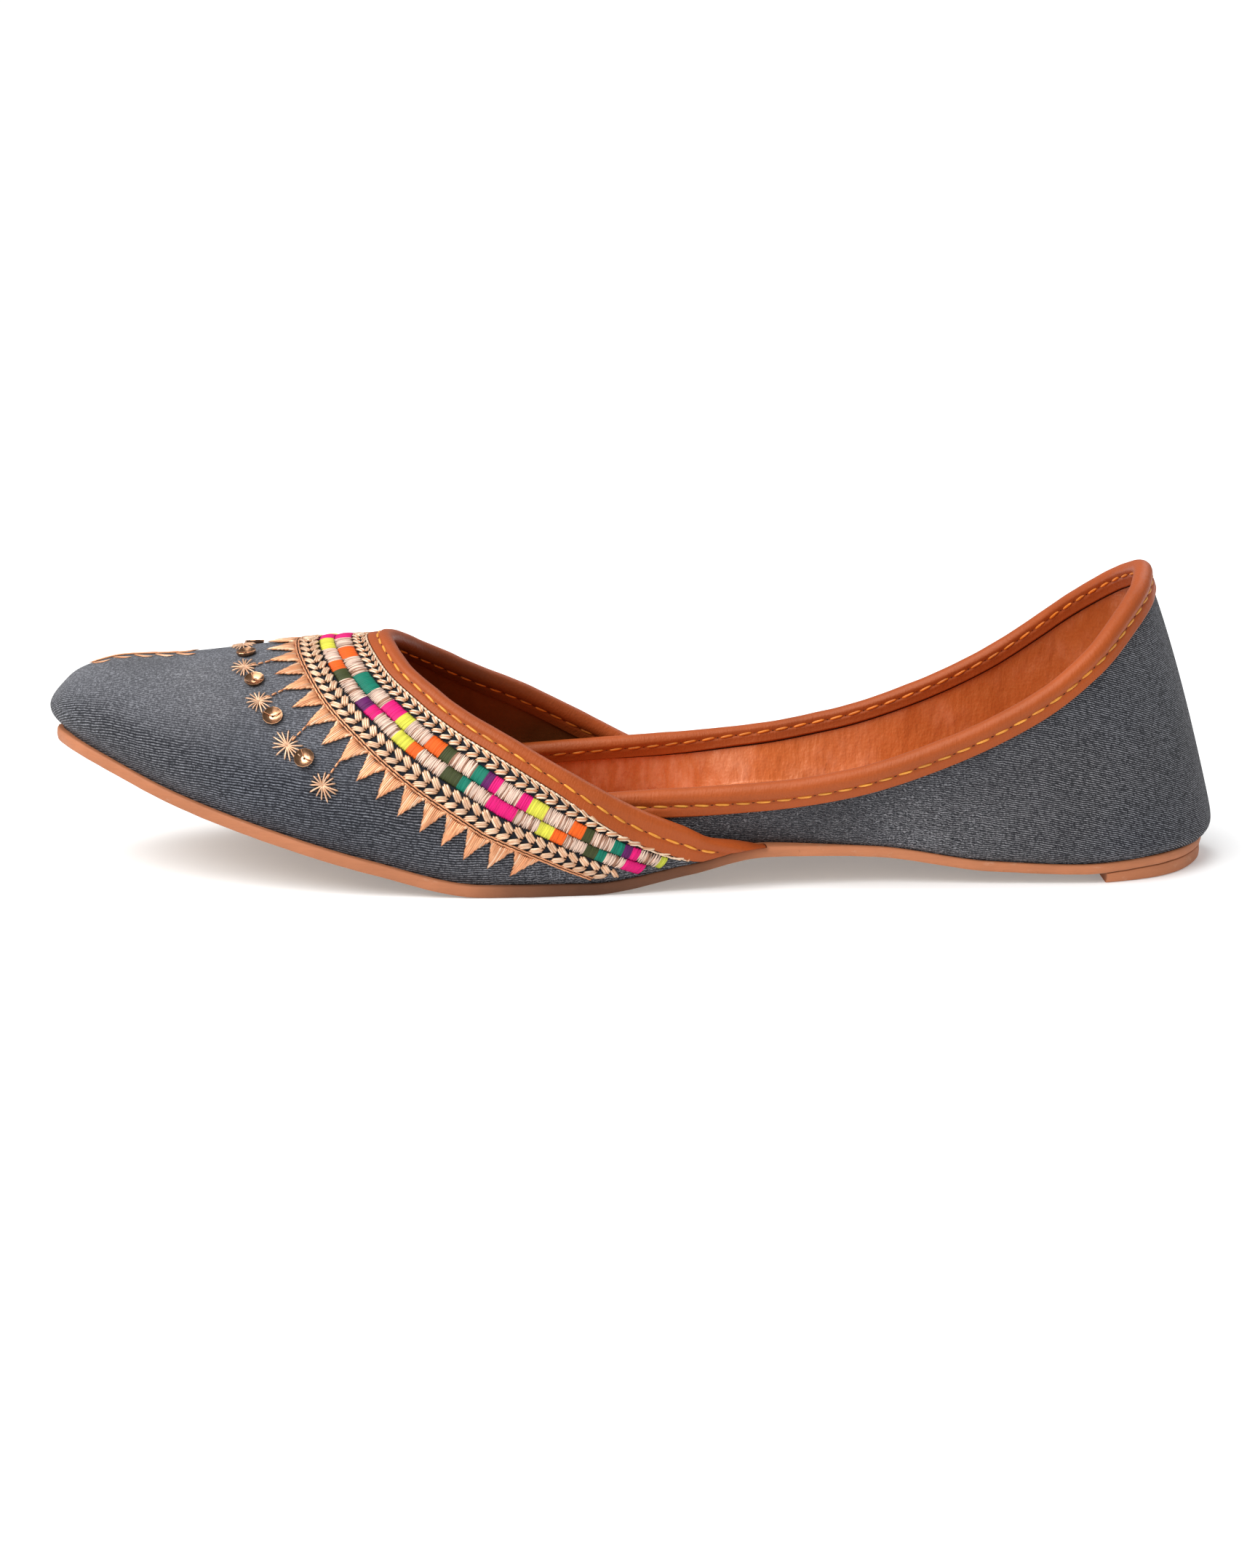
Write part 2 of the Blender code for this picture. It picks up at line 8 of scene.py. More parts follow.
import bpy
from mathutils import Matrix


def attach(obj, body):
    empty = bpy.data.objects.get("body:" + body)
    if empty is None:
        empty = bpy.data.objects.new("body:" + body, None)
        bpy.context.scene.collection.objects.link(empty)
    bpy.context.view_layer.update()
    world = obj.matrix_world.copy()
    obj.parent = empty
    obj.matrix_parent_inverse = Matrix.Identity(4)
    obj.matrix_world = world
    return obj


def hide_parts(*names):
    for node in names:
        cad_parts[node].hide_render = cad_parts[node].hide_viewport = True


bl_info = {
    "name": "Jutti",
    "version": (1, 0, 0),
    "blender": (4, 5, 0),
    "location": "View3D > Sidebar > Jutti",
    "description": "Builds the cloth, leather, thread and metal of an embroidered jutti",
    "category": "Add Mesh",
}

from collections import namedtuple

import bmesh
import bpy
import numpy as np
from mathutils import Vector

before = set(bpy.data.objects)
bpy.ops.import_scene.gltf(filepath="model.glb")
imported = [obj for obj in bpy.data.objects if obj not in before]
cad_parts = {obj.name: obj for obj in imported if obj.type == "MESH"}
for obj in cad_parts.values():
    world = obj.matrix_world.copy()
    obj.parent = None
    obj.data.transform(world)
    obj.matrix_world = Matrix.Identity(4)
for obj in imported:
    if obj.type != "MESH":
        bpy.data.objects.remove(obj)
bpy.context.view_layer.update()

# Driving sizes; the middle is the place of the origin along the length
LENGTH = 0.2556
MIDDLE = 0.5016
BALL_WIDTH = 0.0796
INSTEP_HEIGHT = 0.0491
HEEL_HEIGHT = 0.0634
TOE_SPRING = 0.0265
WALL = 0.0018
GAP = 0.0003
SOLE_AT_TOE = 0.0028
SOLE_AT_HEEL = 0.0021
SOCK = 0.0012
LIFT_FRONT = 0.8935
CREST_SOFTNESS = 0.12
BELLY_ONSET = 0.028
BELLY_FULLNESS = 3.0

# Sampling
MILLIMETRE = 0.001
TINY = 1e-7
WELD = 1e-6
DENSE_STEPS = 60
MESH_STEPS = 14
VAMP_ROWS = 121
VAMP_COLUMNS = 49
QUARTER_ROWS = 141
QUARTER_COLUMNS = 57
DROP_WEIGHT = 4.0
WING_TIP = 0.8
NORMAL_STEP = 0.0002
SHARE_STEP = 0.01
WALL_STEP = 0.00025
SEED = 11
MIRROR = np.array([1.0, -1.0, 1.0])

# Turn of the girth line on a section, in degrees from the crown
GIRTH_TURN = 90.0

# Sole: place along the length, half width as a share of half the ball width,
# underside as a share of the toe spring, sock edge inside the sole edge
SoleRow = namedtuple("SoleRow", "along half rise inset")
SOLE = [SoleRow(*row) for row in (
    (0.0088, 0.000, 0.985, 0.0045),
    (0.0228, 0.239, 0.972, 0.0045),
    (0.0587, 0.458, 0.868, 0.0048),
    (0.1213, 0.678, 0.638, 0.0052),
    (0.1995, 0.854, 0.404, 0.0056),
    (0.2856, 0.967, 0.185, 0.0062),
    (0.3795, 1.000, 0.000, 0.0068),
    (0.4656, 0.948, 0.000, 0.0068),
    (0.5438, 0.868, 0.125, 0.0068),
    (0.6142, 0.785, 0.249, 0.0068),
    (0.7003, 0.722, 0.227, 0.0042),
    (0.7942, 0.714, 0.106, 0.0037),
    (0.8725, 0.705, 0.075, 0.0036),
    (0.9311, 0.593, 0.106, 0.0036),
    (0.9710, 0.357, 0.117, 0.0036),
    (0.9914, 0.000, 0.117, 0.0036),
)]

# Last under the vamp: place along the length, half width at the girth line as
# a share of half the ball width, crown over the girth line as a share of the
# instep height, girth line over the sole, foot drawn in under the girth line,
# roundness of the section
LastRow = namedtuple("LastRow", "along half rise belly tuck bend")
LAST = [LastRow(*row) for row in (
    (0.0035, 0.000, 0.000, 0.0043, 0.0026, 2.00),
    (0.0190, 0.250, 0.112, 0.0050, 0.0026, 2.00),
    (0.0559, 0.487, 0.228, 0.0062, 0.0025, 1.90),
    (0.1205, 0.716, 0.360, 0.0072, 0.0024, 1.80),
    (0.1987, 0.893, 0.521, 0.0079, 0.0024, 1.68),
    (0.2848, 1.009, 0.670, 0.0083, 0.0024, 1.60),
    (0.3787, 1.043, 0.830, 0.0083, 0.0024, 1.60),
    (0.4648, 0.995, 0.884, 0.0081, 0.0022, 1.60),
    (0.5430, 0.908, 0.878, 0.0060, 0.0012, 1.60),
    (0.6056, 0.836, 0.868, 0.0033, 0.0004, 1.60),
    (0.6500, 0.820, 0.862, 0.0020, 0.0002, 1.60),
)]

# Throat edge of the vamp: place along the length, turn down from the crown in
# degrees, past the girth line in millimetres
ThroatRow = namedtuple("ThroatRow", "along turn")
THROAT = [ThroatRow(*row) for row in (
    (0.2896, 0.0),
    (0.3070, 25.7),
    (0.3393, 41.6),
    (0.4026, 59.2),
    (0.4650, 73.3),
    (0.5450, 88.6),
    (0.5890, 94.0),
    (0.6300, 98.5),
)]

# Quarter wall from the back seam forward: foot on the sole, top edge, bulge
QuarterRow = namedtuple("QuarterRow", "foot_along foot_half top_along top_half top_height belly")
QUARTER = [QuarterRow(*row) for row in (
    (0.9927, 0.000, 0.9354, 0.000, 1.000, 0.0029),
    (0.9836, 0.219, 0.9276, 0.249, 0.967, 0.0029),
    (0.9558, 0.458, 0.9049, 0.513, 0.882, 0.0026),
    (0.9088, 0.642, 0.8717, 0.733, 0.759, 0.0022),
    (0.8521, 0.691, 0.8286, 0.817, 0.629, 0.0018),
    (0.7660, 0.696, 0.7582, 0.835, 0.483, 0.0012),
    (0.6800, 0.698, 0.6800, 0.841, 0.374, 0.0006),
    (0.6017, 0.682, 0.6017, 0.800, 0.319, 0.0002),
    (0.5000, 0.830, 0.5000, 0.765, 0.295, 0.0002),
    (0.4000, 0.905, 0.4000, 0.765, 0.267, 0.0002),
)]

# Bands of the border: distances from the throat edge, in millimetres
EDGE_CHAIN = 3.75
HERRINGBONE_IN = (3.9, 6.7)
MIDDLE_IN = 5.05
BLOCKS_IN = (6.75, 10.80)
BLOCKS_OUT = (10.45, 13.95)
HERRINGBONE_OUT = (14.2, 18.2)
MIDDLE_OUT = 16.2
CORDS = (18.4, 19.0)
POINT_BASE = 19.1
POINT_TIP = 24.9
POINT_PITCH = 5.25
POINT_COUNT = 16
STAR_DISTANCE = 30.7
STAR_TIPS = (0, 2, 4, 6, 8)
STAR_SPREAD = 1.04
SEQUIN_DISTANCE = 29.7
SEQUIN_TIPS = (1, 3, 5, 7)

# Throat strap below the edge, wider where the wing starts: shares of the throat
FLAP = 0.0033
WIDEN_FROM = 0.52
WIDEN_TO = 0.68
WIDEN_END = 0.83
WIDEN_BY = 0.0019
WIDEN_LOSS = 0.95

# Bands draw together toward the wing: from a distance and a share on, at a rate
NARROW_START = 3.3
NARROW_FROM = 0.47
NARROW_RATE = 1.35

# Chart of the vamp for thread work, in millimetres over the cloth
CHART_LINE = 12.0
CHART_REACH = 36.0
CHART_STEP = 0.5
CHART_ROWS = 420
CHART_LAST_SHARE = 0.93

# Dark sheet of painted shade under the border: distance and run in millimetres, heights in metres
SHADE_SHEET_START = 3.1
SHADE_SHEET_END = 106.0
SHADE_SHEET_COLUMNS = 34
SHADE_SHEET_CLEAR = 0.0008

# Satin blocks from the ridge to the wing: thread colour, length in millimetres
ROW_IN = [
    ("magenta", 3.6), ("gold", 5.6), ("orange", 5.0), ("gold", 6.8), ("teal", 6.6), ("gold", 5.2),
    ("magenta", 4.6), ("yellow", 3.0), ("gold", 5.8), ("orange", 4.0), ("olive", 2.6), ("gold", 5.6),
    ("teal", 2.6), ("purple", 3.6), ("gold", 4.8), ("magenta", 2.4), ("yellow", 3.8), ("gold", 6.0),
    ("orange", 3.0), ("olive", 2.0), ("gold", 4.6), ("teal", 2.2), ("purple", 3.0), ("gold", 3.4),
    ("lime", 4.6), ("gold", 4.0),
]
ROW_OUT = [
    ("magenta", 2.6), ("yellow", 6.0), ("gold", 5.6), ("orange", 3.4), ("olive", 3.6), ("gold", 7.0),
    ("purple", 5.8), ("gold", 6.0), ("yellow", 4.0), ("orange", 2.6), ("gold", 6.4), ("olive", 4.0),
    ("teal", 2.0), ("gold", 5.2), ("magenta", 6.2), ("gold", 5.2), ("yellow", 3.2), ("orange", 2.8),
    ("gold", 4.8), ("olive", 2.6), ("teal", 1.8), ("gold", 4.0), ("magenta", 5.4),
]


def length_property(name, description, default):
    """Size setting in metres."""
    return bpy.props.FloatProperty(name=name, description=description, default=default, unit="LENGTH")


class JuttiSizes(bpy.types.PropertyGroup):
    """Sizes that a maker would change."""

    flap_inside: length_property("Inside flap", "Throat binding below the edge, inside", 0.0038)
    collar_outside: length_property("Collar outside", "Collar binding below the edge, outside", 0.0038)
    collar_inside: length_property("Collar inside", "Collar binding below the edge, inside", 0.0027)
    strap: length_property("Strap", "Thickness of the binding leather", 0.0009)
    stitch: length_property("Stitch", "Length of a machine stitch", 0.0034)
    stitch_pitch: length_property("Stitch pitch", "From one stitch to the next", 0.0043)
    stitch_thread: length_property("Stitch thread", "Thickness of the machine thread", 0.00052)
    satin_thread: length_property("Satin thread", "Width of a satin strand", 0.00034)
    star_radius: length_property("Star", "Length of a star's rays", 0.0029)
    sequin_radius: length_property("Sequin", "Radius of a cup sequin", 0.0021)
    rib_pitch: bpy.props.FloatProperty(
        name="Rib pitch",
        description="From one weft rib of the denim to the next, in millimetres",
        default=0.56,
    )


def colour_property(name, description, default):
    """Colour setting in linear values."""
    return bpy.props.FloatVectorProperty(
        name=name, description=description, default=default, subtype="COLOR", size=3, min=0.0, max=1.0)


class JuttiColours(bpy.types.PropertyGroup):
    """Colours that a maker would change."""

    denim_dark: colour_property("Denim warp", "Dark yarn of the denim", (0.011, 0.012, 0.016))
    denim_light: colour_property("Denim weft", "Light yarn of the denim", (0.270, 0.274, 0.300))
    binding: colour_property("Binding", "Leather of the bindings", (0.345, 0.066, 0.012))
    lining: colour_property("Lining", "Leather inside the upper", (0.560, 0.135, 0.028))
    sole: colour_property("Sole", "Leather of the sole and lift", (0.540, 0.200, 0.090))
    stitching: colour_property("Stitching", "Machine thread outside", (0.860, 0.400, 0.050))
    stitching_inside: colour_property("Inside stitching", "Machine thread inside", (0.860, 0.290, 0.030))
    cream: colour_property("Cream", "Pale metallic thread", (0.960, 0.800, 0.620))
    gold: colour_property("Rose gold", "Metallic thread", (0.860, 0.590, 0.400))
    rose: colour_property("Rose", "Metallic thread of the blocks", (0.900, 0.660, 0.520))
    copper_thread: colour_property("Copper thread", "Thread of the points", (0.860, 0.440, 0.230))
    copper: colour_property("Sequin", "Metal of the sequins", (0.500, 0.270, 0.150))
    magenta: colour_property("Magenta", "Silk thread", (0.760, 0.004, 0.180))
    orange: colour_property("Orange", "Silk thread", (0.900, 0.130, 0.008))
    yellow: colour_property("Yellow", "Silk thread", (0.740, 0.720, 0.070))
    lime: colour_property("Lime", "Silk thread", (0.520, 0.560, 0.055))
    teal: colour_property("Teal", "Silk thread", (0.002, 0.190, 0.120))
    olive: colour_property("Olive", "Silk thread", (0.050, 0.062, 0.016))
    purple: colour_property("Purple", "Silk thread", (0.120, 0.008, 0.110))


# Shape of the last


def unit(vectors):
    """Vectors scaled to length one."""
    return vectors / np.maximum(np.linalg.norm(vectors, axis=-1, keepdims=True), TINY)


def together(*columns):
    """Coordinates joined into places, single numbers spread along the others."""
    return np.stack(np.broadcast_arrays(*columns), axis=-1)


def within(value, start, run):
    """Share of a run gone through since its start, held at 0 and 1."""
    return np.clip((value - start) / run, 0.0, 1.0)


def running_length(points):
    """Length run along a row of points, from its start."""
    return np.concatenate([[0.0], np.cumsum(np.linalg.norm(np.diff(points, axis=0), axis=1))])


def row_past_end(edge, inner, fields, odd):
    """Row past an end: carried straight on, or mirrored with the odd columns negated."""
    if odd is None:
        return 2.0 * edge - inner
    signs = np.array([-1.0 if field in odd else 1.0 for field in fields])
    return inner * signs


def curve_through(rows, steps, first_odd=None, last_odd=None):
    """Columns sampled along a Hermite curve through the rows.

    The slope at a row is the harmonic mean of the steps beside it, or level
    where they differ in sign, so the curve never overshoots.
    """
    fields = rows[0]._fields
    table = np.array(rows, dtype=float)
    first = row_past_end(table[0], table[1], fields, first_odd)
    last = row_past_end(table[-1], table[-2], fields, last_odd)
    change = np.diff(np.vstack([first, table, last]), axis=0)
    product = change[:-1] * change[1:]
    total = change[:-1] + change[1:]
    slope = np.where(product > 0.0, 2.0 * product / np.where(product > 0.0, total, 1.0), 0.0)
    place = np.linspace(0.0, len(rows) - 1.0, (len(rows) - 1) * steps + 1)
    index = np.minimum(place.astype(int), len(rows) - 2)
    t = (place - index)[:, None]
    columns = (
        table[index] * (2.0 * t ** 3 - 3.0 * t ** 2 + 1.0)
        + table[index + 1] * (3.0 * t ** 2 - 2.0 * t ** 3)
        + slope[index] * (t ** 3 - 2.0 * t ** 2 + t)
        + slope[index + 1] * (t ** 3 - t ** 2)
    )
    return type(rows[0])(*columns.T)


def plan_heading(along, half):
    """Directions along an outline in plan, given its stations and half widths as shares."""
    steps = together(np.gradient(along * LENGTH), np.gradient(half * BALL_WIDTH / 2.0))
    steps[half == 0.0, 0] = 0.0
    return unit(steps)


SOLE_CURVE = curve_through(SOLE, DENSE_STEPS, ("half",), ("half",))
LAST_CURVE = curve_through(LAST, DENSE_STEPS, ("half", "rise"))
THROAT_CURVE = curve_through(THROAT, DENSE_STEPS, ("turn",))
QUARTER_CURVE = curve_through(QUARTER, DENSE_STEPS, ("foot_half", "top_half"))
LAST_HEADING = plan_heading(LAST_CURVE.along, LAST_CURVE.half)


def to_x(along):
    """X of a place along the length."""
    return (along - MIDDLE) * LENGTH


def look_up(curve, x):
    """Columns of a sampled curve at X."""
    along = x / LENGTH + MIDDLE
    return type(curve)(*[np.interp(along, curve.along, column) for column in curve])


def at_share(curve, share):
    """Columns of a sampled curve at a share of its rows."""
    shares = np.linspace(0.0, 1.0, len(curve[0]))
    return type(curve)(*[np.interp(share, shares, column) for column in curve])


def sole_under(x):
    """Height of the underside of the sole: spring at the toe, arch at the waist."""
    return look_up(SOLE_CURVE, x).rise * TOE_SPRING


def sole_over(x):
    """Height of the top face of the sole."""
    along = x / LENGTH + MIDDLE
    return sole_under(x) + SOLE_AT_TOE + (SOLE_AT_HEEL - SOLE_AT_TOE) * along


def vamp_point(x, turn):
    """Point on the outside of the vamp.

    Over the girth line the section is a soft superellipse, under it a
    parabola that tucks in. Turn counts degrees from the crown to the girth
    line; past it each unit is a millimetre of drop.
    """
    row = look_up(LAST_CURVE, x)
    half = np.maximum(row.half * BALL_WIDTH / 2.0, TINY)
    rise = np.maximum(row.rise * INSTEP_HEIGHT, TINY)
    girth = sole_over(x) + GAP + row.belly
    angle = np.radians(np.minimum(turn, GIRTH_TURN))
    across = np.hypot(np.sin(angle), CREST_SOFTNESS * np.cos(angle)) / half
    upright = np.hypot(np.cos(angle), CREST_SOFTNESS * np.sin(angle)) / rise
    radius = (across ** row.bend + upright ** row.bend) ** (-1.0 / row.bend)
    drop = np.maximum(turn - GIRTH_TURN, 0.0) * MILLIMETRE
    tuck = row.tuck * (drop / row.belly) ** 2
    heading_x = np.interp(x, to_x(LAST_CURVE.along), LAST_HEADING[:, 0])
    heading_y = np.interp(x, to_x(LAST_CURVE.along), LAST_HEADING[:, 1])
    y = radius * np.sin(angle) - heading_x * tuck
    z = girth + radius * np.cos(angle) - drop
    return together(x + heading_y * tuck, y, z)


def vamp_turn(points):
    """Turn of the points' place on the vamp section at their X."""
    x = points[..., 0]
    girth = sole_over(x) + GAP + look_up(LAST_CURVE, x).belly
    above = points[..., 2] - girth
    angle = np.degrees(np.arctan2(np.abs(points[..., 1]), np.maximum(above, TINY)))
    return np.where(above > 0.0, angle, GIRTH_TURN - above / MILLIMETRE)


def vamp_normal(x, turn):
    """Outward direction of the vamp."""
    step = NORMAL_STEP
    along = vamp_point(x + step, turn) - vamp_point(x - step, turn)
    down = vamp_point(x, turn + step / MILLIMETRE) - vamp_point(x, turn - step / MILLIMETRE)
    return unit(np.cross(along, down))


def march_vamp(shares, distances):
    """Points and normals over the vamp at each distance from its throat edge.

    The way starts square to the edge and goes on in steps of up to a
    millimetre, each put back on the surface.
    """
    step = 1.0 / len(THROAT_CURVE.turn)
    before = at_share(THROAT_CURVE, np.maximum(shares - step, 0.0))
    after = at_share(THROAT_CURVE, np.minimum(shares + step, 1.0))
    edge = at_share(THROAT_CURVE, shares)
    along = vamp_point(to_x(after.along), after.turn) - vamp_point(to_x(before.along), before.turn)
    along[shares == 0.0] = (0.0, 1.0, 0.0)
    points = vamp_point(to_x(edge.along), edge.turn)
    normals = vamp_normal(to_x(edge.along), edge.turn)
    heading = unit(np.cross(normals, along))
    reached = 0.0
    found = []
    for distance in distances:
        count = max(int(np.ceil((distance - reached) / MILLIMETRE)), 1)
        for _ in range(count):
            points = points + heading * (distance - reached) / count
            turn = vamp_turn(points)
            points = vamp_point(points[..., 0], turn)
            normals = vamp_normal(points[..., 0], turn)
            heading = unit(heading - normals * np.sum(heading * normals, axis=-1, keepdims=True))
        points[shares == 0.0, 1] = 0.0
        reached = distance
        found.append((points, normals))
    return np.stack([f[0] for f in found], axis=1), np.stack([f[1] for f in found], axis=1)


def quarter_point(shares, heights):
    """Point on the outside of the quarter.

    The wall is straight from foot to top edge, plus a bulge that sets in just
    over the foot and dies out toward the top.
    """
    row = at_share(QUARTER_CURVE, shares)
    half = BALL_WIDTH / 2.0
    foot_x = to_x(row.foot_along)
    foot = together(foot_x, row.foot_half * half, sole_over(foot_x) + GAP)
    top = together(to_x(row.top_along), row.top_half * half, row.top_height * HEEL_HEIGHT)
    step = 0.5 / len(QUARTER_CURVE.belly)
    ahead = at_share(QUARTER_CURVE, np.minimum(shares + step, 1.0))
    behind = at_share(QUARTER_CURVE, np.maximum(shares - step, 0.0))
    forward = to_x(ahead.foot_along) - to_x(behind.foot_along)
    sideways = (ahead.foot_half - behind.foot_half) * half
    outward = unit(together(sideways, -forward, 0.0))
    bulge = row.belly * (1.0 - heights ** BELLY_FULLNESS) * (1.0 - np.exp(-heights / BELLY_ONSET))
    return foot + (top - foot) * heights[..., None] + outward * bulge[..., None]


def march_quarter(shares, distances):
    """Points and normals down the quarter at each distance from its top edge."""
    whole = np.ones_like(shares)
    length = np.linalg.norm(quarter_point(shares, whole) - quarter_point(shares, 0.0 * whole), axis=-1)
    along = np.repeat(shares[:, None], len(distances), axis=1)
    heights = 1.0 - np.asarray(distances)[None, :] / length[:, None]
    ahead = quarter_point(np.minimum(along + SHARE_STEP, 1.0), heights)
    behind = quarter_point(np.maximum(along - SHARE_STEP, 0.0), heights)
    forward = ahead - behind
    forward[along == 0.0] = (0.0, 1.0, 0.0)
    points = quarter_point(along, heights)
    upward = points - quarter_point(along, heights - SHARE_STEP)
    points[along == 0.0, 1] = 0.0
    return points, unit(np.cross(forward, upward))


# Chart of the vamp, for thread work


CHART_SHARES = np.linspace(0.0, CHART_LAST_SHARE, CHART_ROWS)
CHART_DISTANCES = np.arange(0.0, CHART_REACH + CHART_STEP / 2.0, CHART_STEP)
CHART_POINTS, CHART_NORMALS = march_vamp(CHART_SHARES, CHART_DISTANCES * MILLIMETRE)
CHART_ROW = CHART_POINTS[:, np.searchsorted(CHART_DISTANCES, CHART_LINE)]
CHART_RUN = running_length(CHART_ROW) / MILLIMETRE
TIP_ROW = CHART_POINTS[:, np.searchsorted(CHART_DISTANCES, POINT_BASE)]
TIP_RUN = running_length(TIP_ROW) / MILLIMETRE


def tip_to_run(tip):
    """Run of a point of the border, counted along the line of the points."""
    return np.interp(np.asarray(tip) * POINT_PITCH, TIP_RUN, CHART_RUN)


def drawn_in(share, distance):
    """Distance of a band once the bands have drawn together toward the wing."""
    pull = 1.0 - NARROW_RATE * np.maximum(share - NARROW_FROM, 0.0)
    return np.where(distance > NARROW_START, NARROW_START + (distance - NARROW_START) * pull, distance)


def ease(value, start, end):
    """Share of the way from start to end, held at 0 and 1 past them, with level ends."""
    share = within(value, start, end - start)
    return share ** 2 * (3.0 - 2.0 * share)


def flap_width(share):
    """Width of the throat strap below the edge: widest where the wing starts, less again at its tail."""
    gain = ease(share, WIDEN_FROM, WIDEN_TO)
    loss = ease(share, WIDEN_TO, WIDEN_END)
    return FLAP + WIDEN_BY * (gain - WIDEN_LOSS * loss)


def on_vamp(run, distance, narrow=True):
    """Point and normal at a signed run and a distance in millimetres, read from the chart bilinearly.

    The bands draw together toward the wing: past a share of the throat the
    distance counts less.
    """
    share = np.interp(np.abs(run), CHART_RUN, CHART_SHARES)
    if narrow:
        distance = drawn_in(share, distance)
    i = np.clip(share / CHART_SHARES[1], 0.0, len(CHART_SHARES) - 1.001)
    j = np.clip(distance / CHART_DISTANCES[1], 0.0, len(CHART_DISTANCES) - 1.001)
    i0 = i.astype(int)
    j0 = j.astype(int)
    s = (i - i0)[..., None]
    t = (j - j0)[..., None]
    side = np.where(np.asarray(run) < 0.0, -1.0, 1.0)
    flip = together(1.0, side, 1.0)

    def read(chart):
        """Value of a chart between its four nearest entries."""
        near = chart[i0, j0] * (1.0 - s) + chart[i0 + 1, j0] * s
        far = chart[i0, j0 + 1] * (1.0 - s) + chart[i0 + 1, j0 + 1] * s
        return (near * (1.0 - t) + far * t) * flip

    return read(CHART_POINTS), unit(read(CHART_NORMALS))


def over_sole(points):
    """Height of points over the top of the sole."""
    return points[..., 2] - sole_over(points[..., 0]) - GAP


# Meshes


Shape = namedtuple("Shape", "points quads uv")


def grid_quads(rows, columns, closed=False):
    """Corner numbers of the quads of a grid; a closed grid joins its last column to its first."""
    joins = columns if closed else columns - 1
    row, column = np.meshgrid(np.arange(rows - 1), np.arange(joins), indexing="ij")
    following = (column + 1) % columns
    a = row * columns + column
    b = row * columns + following
    return np.stack([a, b, b + columns, a + columns], axis=-1).reshape(-1, 4)


def make_piece(name, shape, material, tint=None, nodes=(), sharp=None):
    """Object from a shape, welded, shaded smooth, riding on the shoe."""
    mesh = bpy.data.meshes.new(name)
    mesh.from_pydata(shape.points.tolist(), [], shape.quads.tolist())
    if shape.uv is not None:
        layer = mesh.uv_layers.new(name="surface")
        layer.uv.foreach_set("vector", shape.uv[shape.quads.ravel()].astype(np.float32).ravel())
    if tint is not None:
        colours = np.ones((len(mesh.vertices), 4), dtype=np.float32)
        colours[:, :3] = tint.reshape(-1, 3)
        mesh.attributes.new("tint", "FLOAT_COLOR", "POINT").data.foreach_set("color", colours.ravel())
    body = bmesh.new()
    body.from_mesh(mesh)
    bmesh.ops.remove_doubles(body, verts=body.verts, dist=WELD)
    bmesh.ops.recalc_face_normals(body, faces=body.faces)
    if not any(edge.is_boundary for edge in body.edges) and body.calc_volume(signed=True) < 0.0:
        bmesh.ops.reverse_faces(body, faces=body.faces)
    body.to_mesh(mesh)
    body.free()
    mesh.shade_smooth()
    if sharp is not None:
        mesh.set_sharp_from_angle(angle=np.radians(sharp))
    mesh.materials.append(material)
    item = bpy.data.objects.new(name, mesh)
    bpy.context.scene.collection.objects.link(item)
    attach(item, "root")
    if nodes:
        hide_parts(*nodes)
    return item


def mirrored(points, quads, uv=None):
    """A half grid with its quads and coordinates, and its mirror image across Y = 0."""
    half = points.reshape(-1, 3)
    whole = np.concatenate([half, half * MIRROR])
    faces = np.concatenate([quads, quads[:, ::-1] + len(half)])
    if uv is None:
        return Shape(whole, faces, None)
    return Shape(whole, faces, np.concatenate([uv.reshape(-1, 2), uv.reshape(-1, 2)]))


def both_halves(points, uv=None):
    """An open half grid and its mirror image."""
    return mirrored(points, grid_quads(*points.shape[:2]), uv)


def joined(shapes):
    """One shape from several."""
    starts = np.cumsum([0] + [len(shape.points) for shape in shapes])
    points = np.concatenate([shape.points for shape in shapes])
    quads = np.concatenate([shape.quads + start for shape, start in zip(shapes, starts)])
    return Shape(points, quads, np.concatenate([shape.uv for shape in shapes]))


def add_wall(item, thickness, layer):
    """Solid wall inside a surface; layer 0 lies on the surface, layer 1 one thickness deeper."""
    modifier = item.modifiers.new("Wall", "SOLIDIFY")
    modifier.thickness = thickness
    modifier.offset = -1.0 - 2.0 * layer
    modifier.use_even_offset = True
    modifier.use_quality_normals = True


WAVE_SIZES = (1.0, 0.62, 0.37, 0.23)


def ripple(place, seed, scale):
    """Smooth waves along a place: a sum of sines with seeded phases, between about -1 and 1."""
    phases = np.random.default_rng(seed).uniform(0.0, 2.0 * np.pi, len(WAVE_SIZES))
    waves = [np.sin(place / (scale * size) + phase) for size, phase in zip(WAVE_SIZES, phases)]
    return sum(waves) / 2.5


# Materials


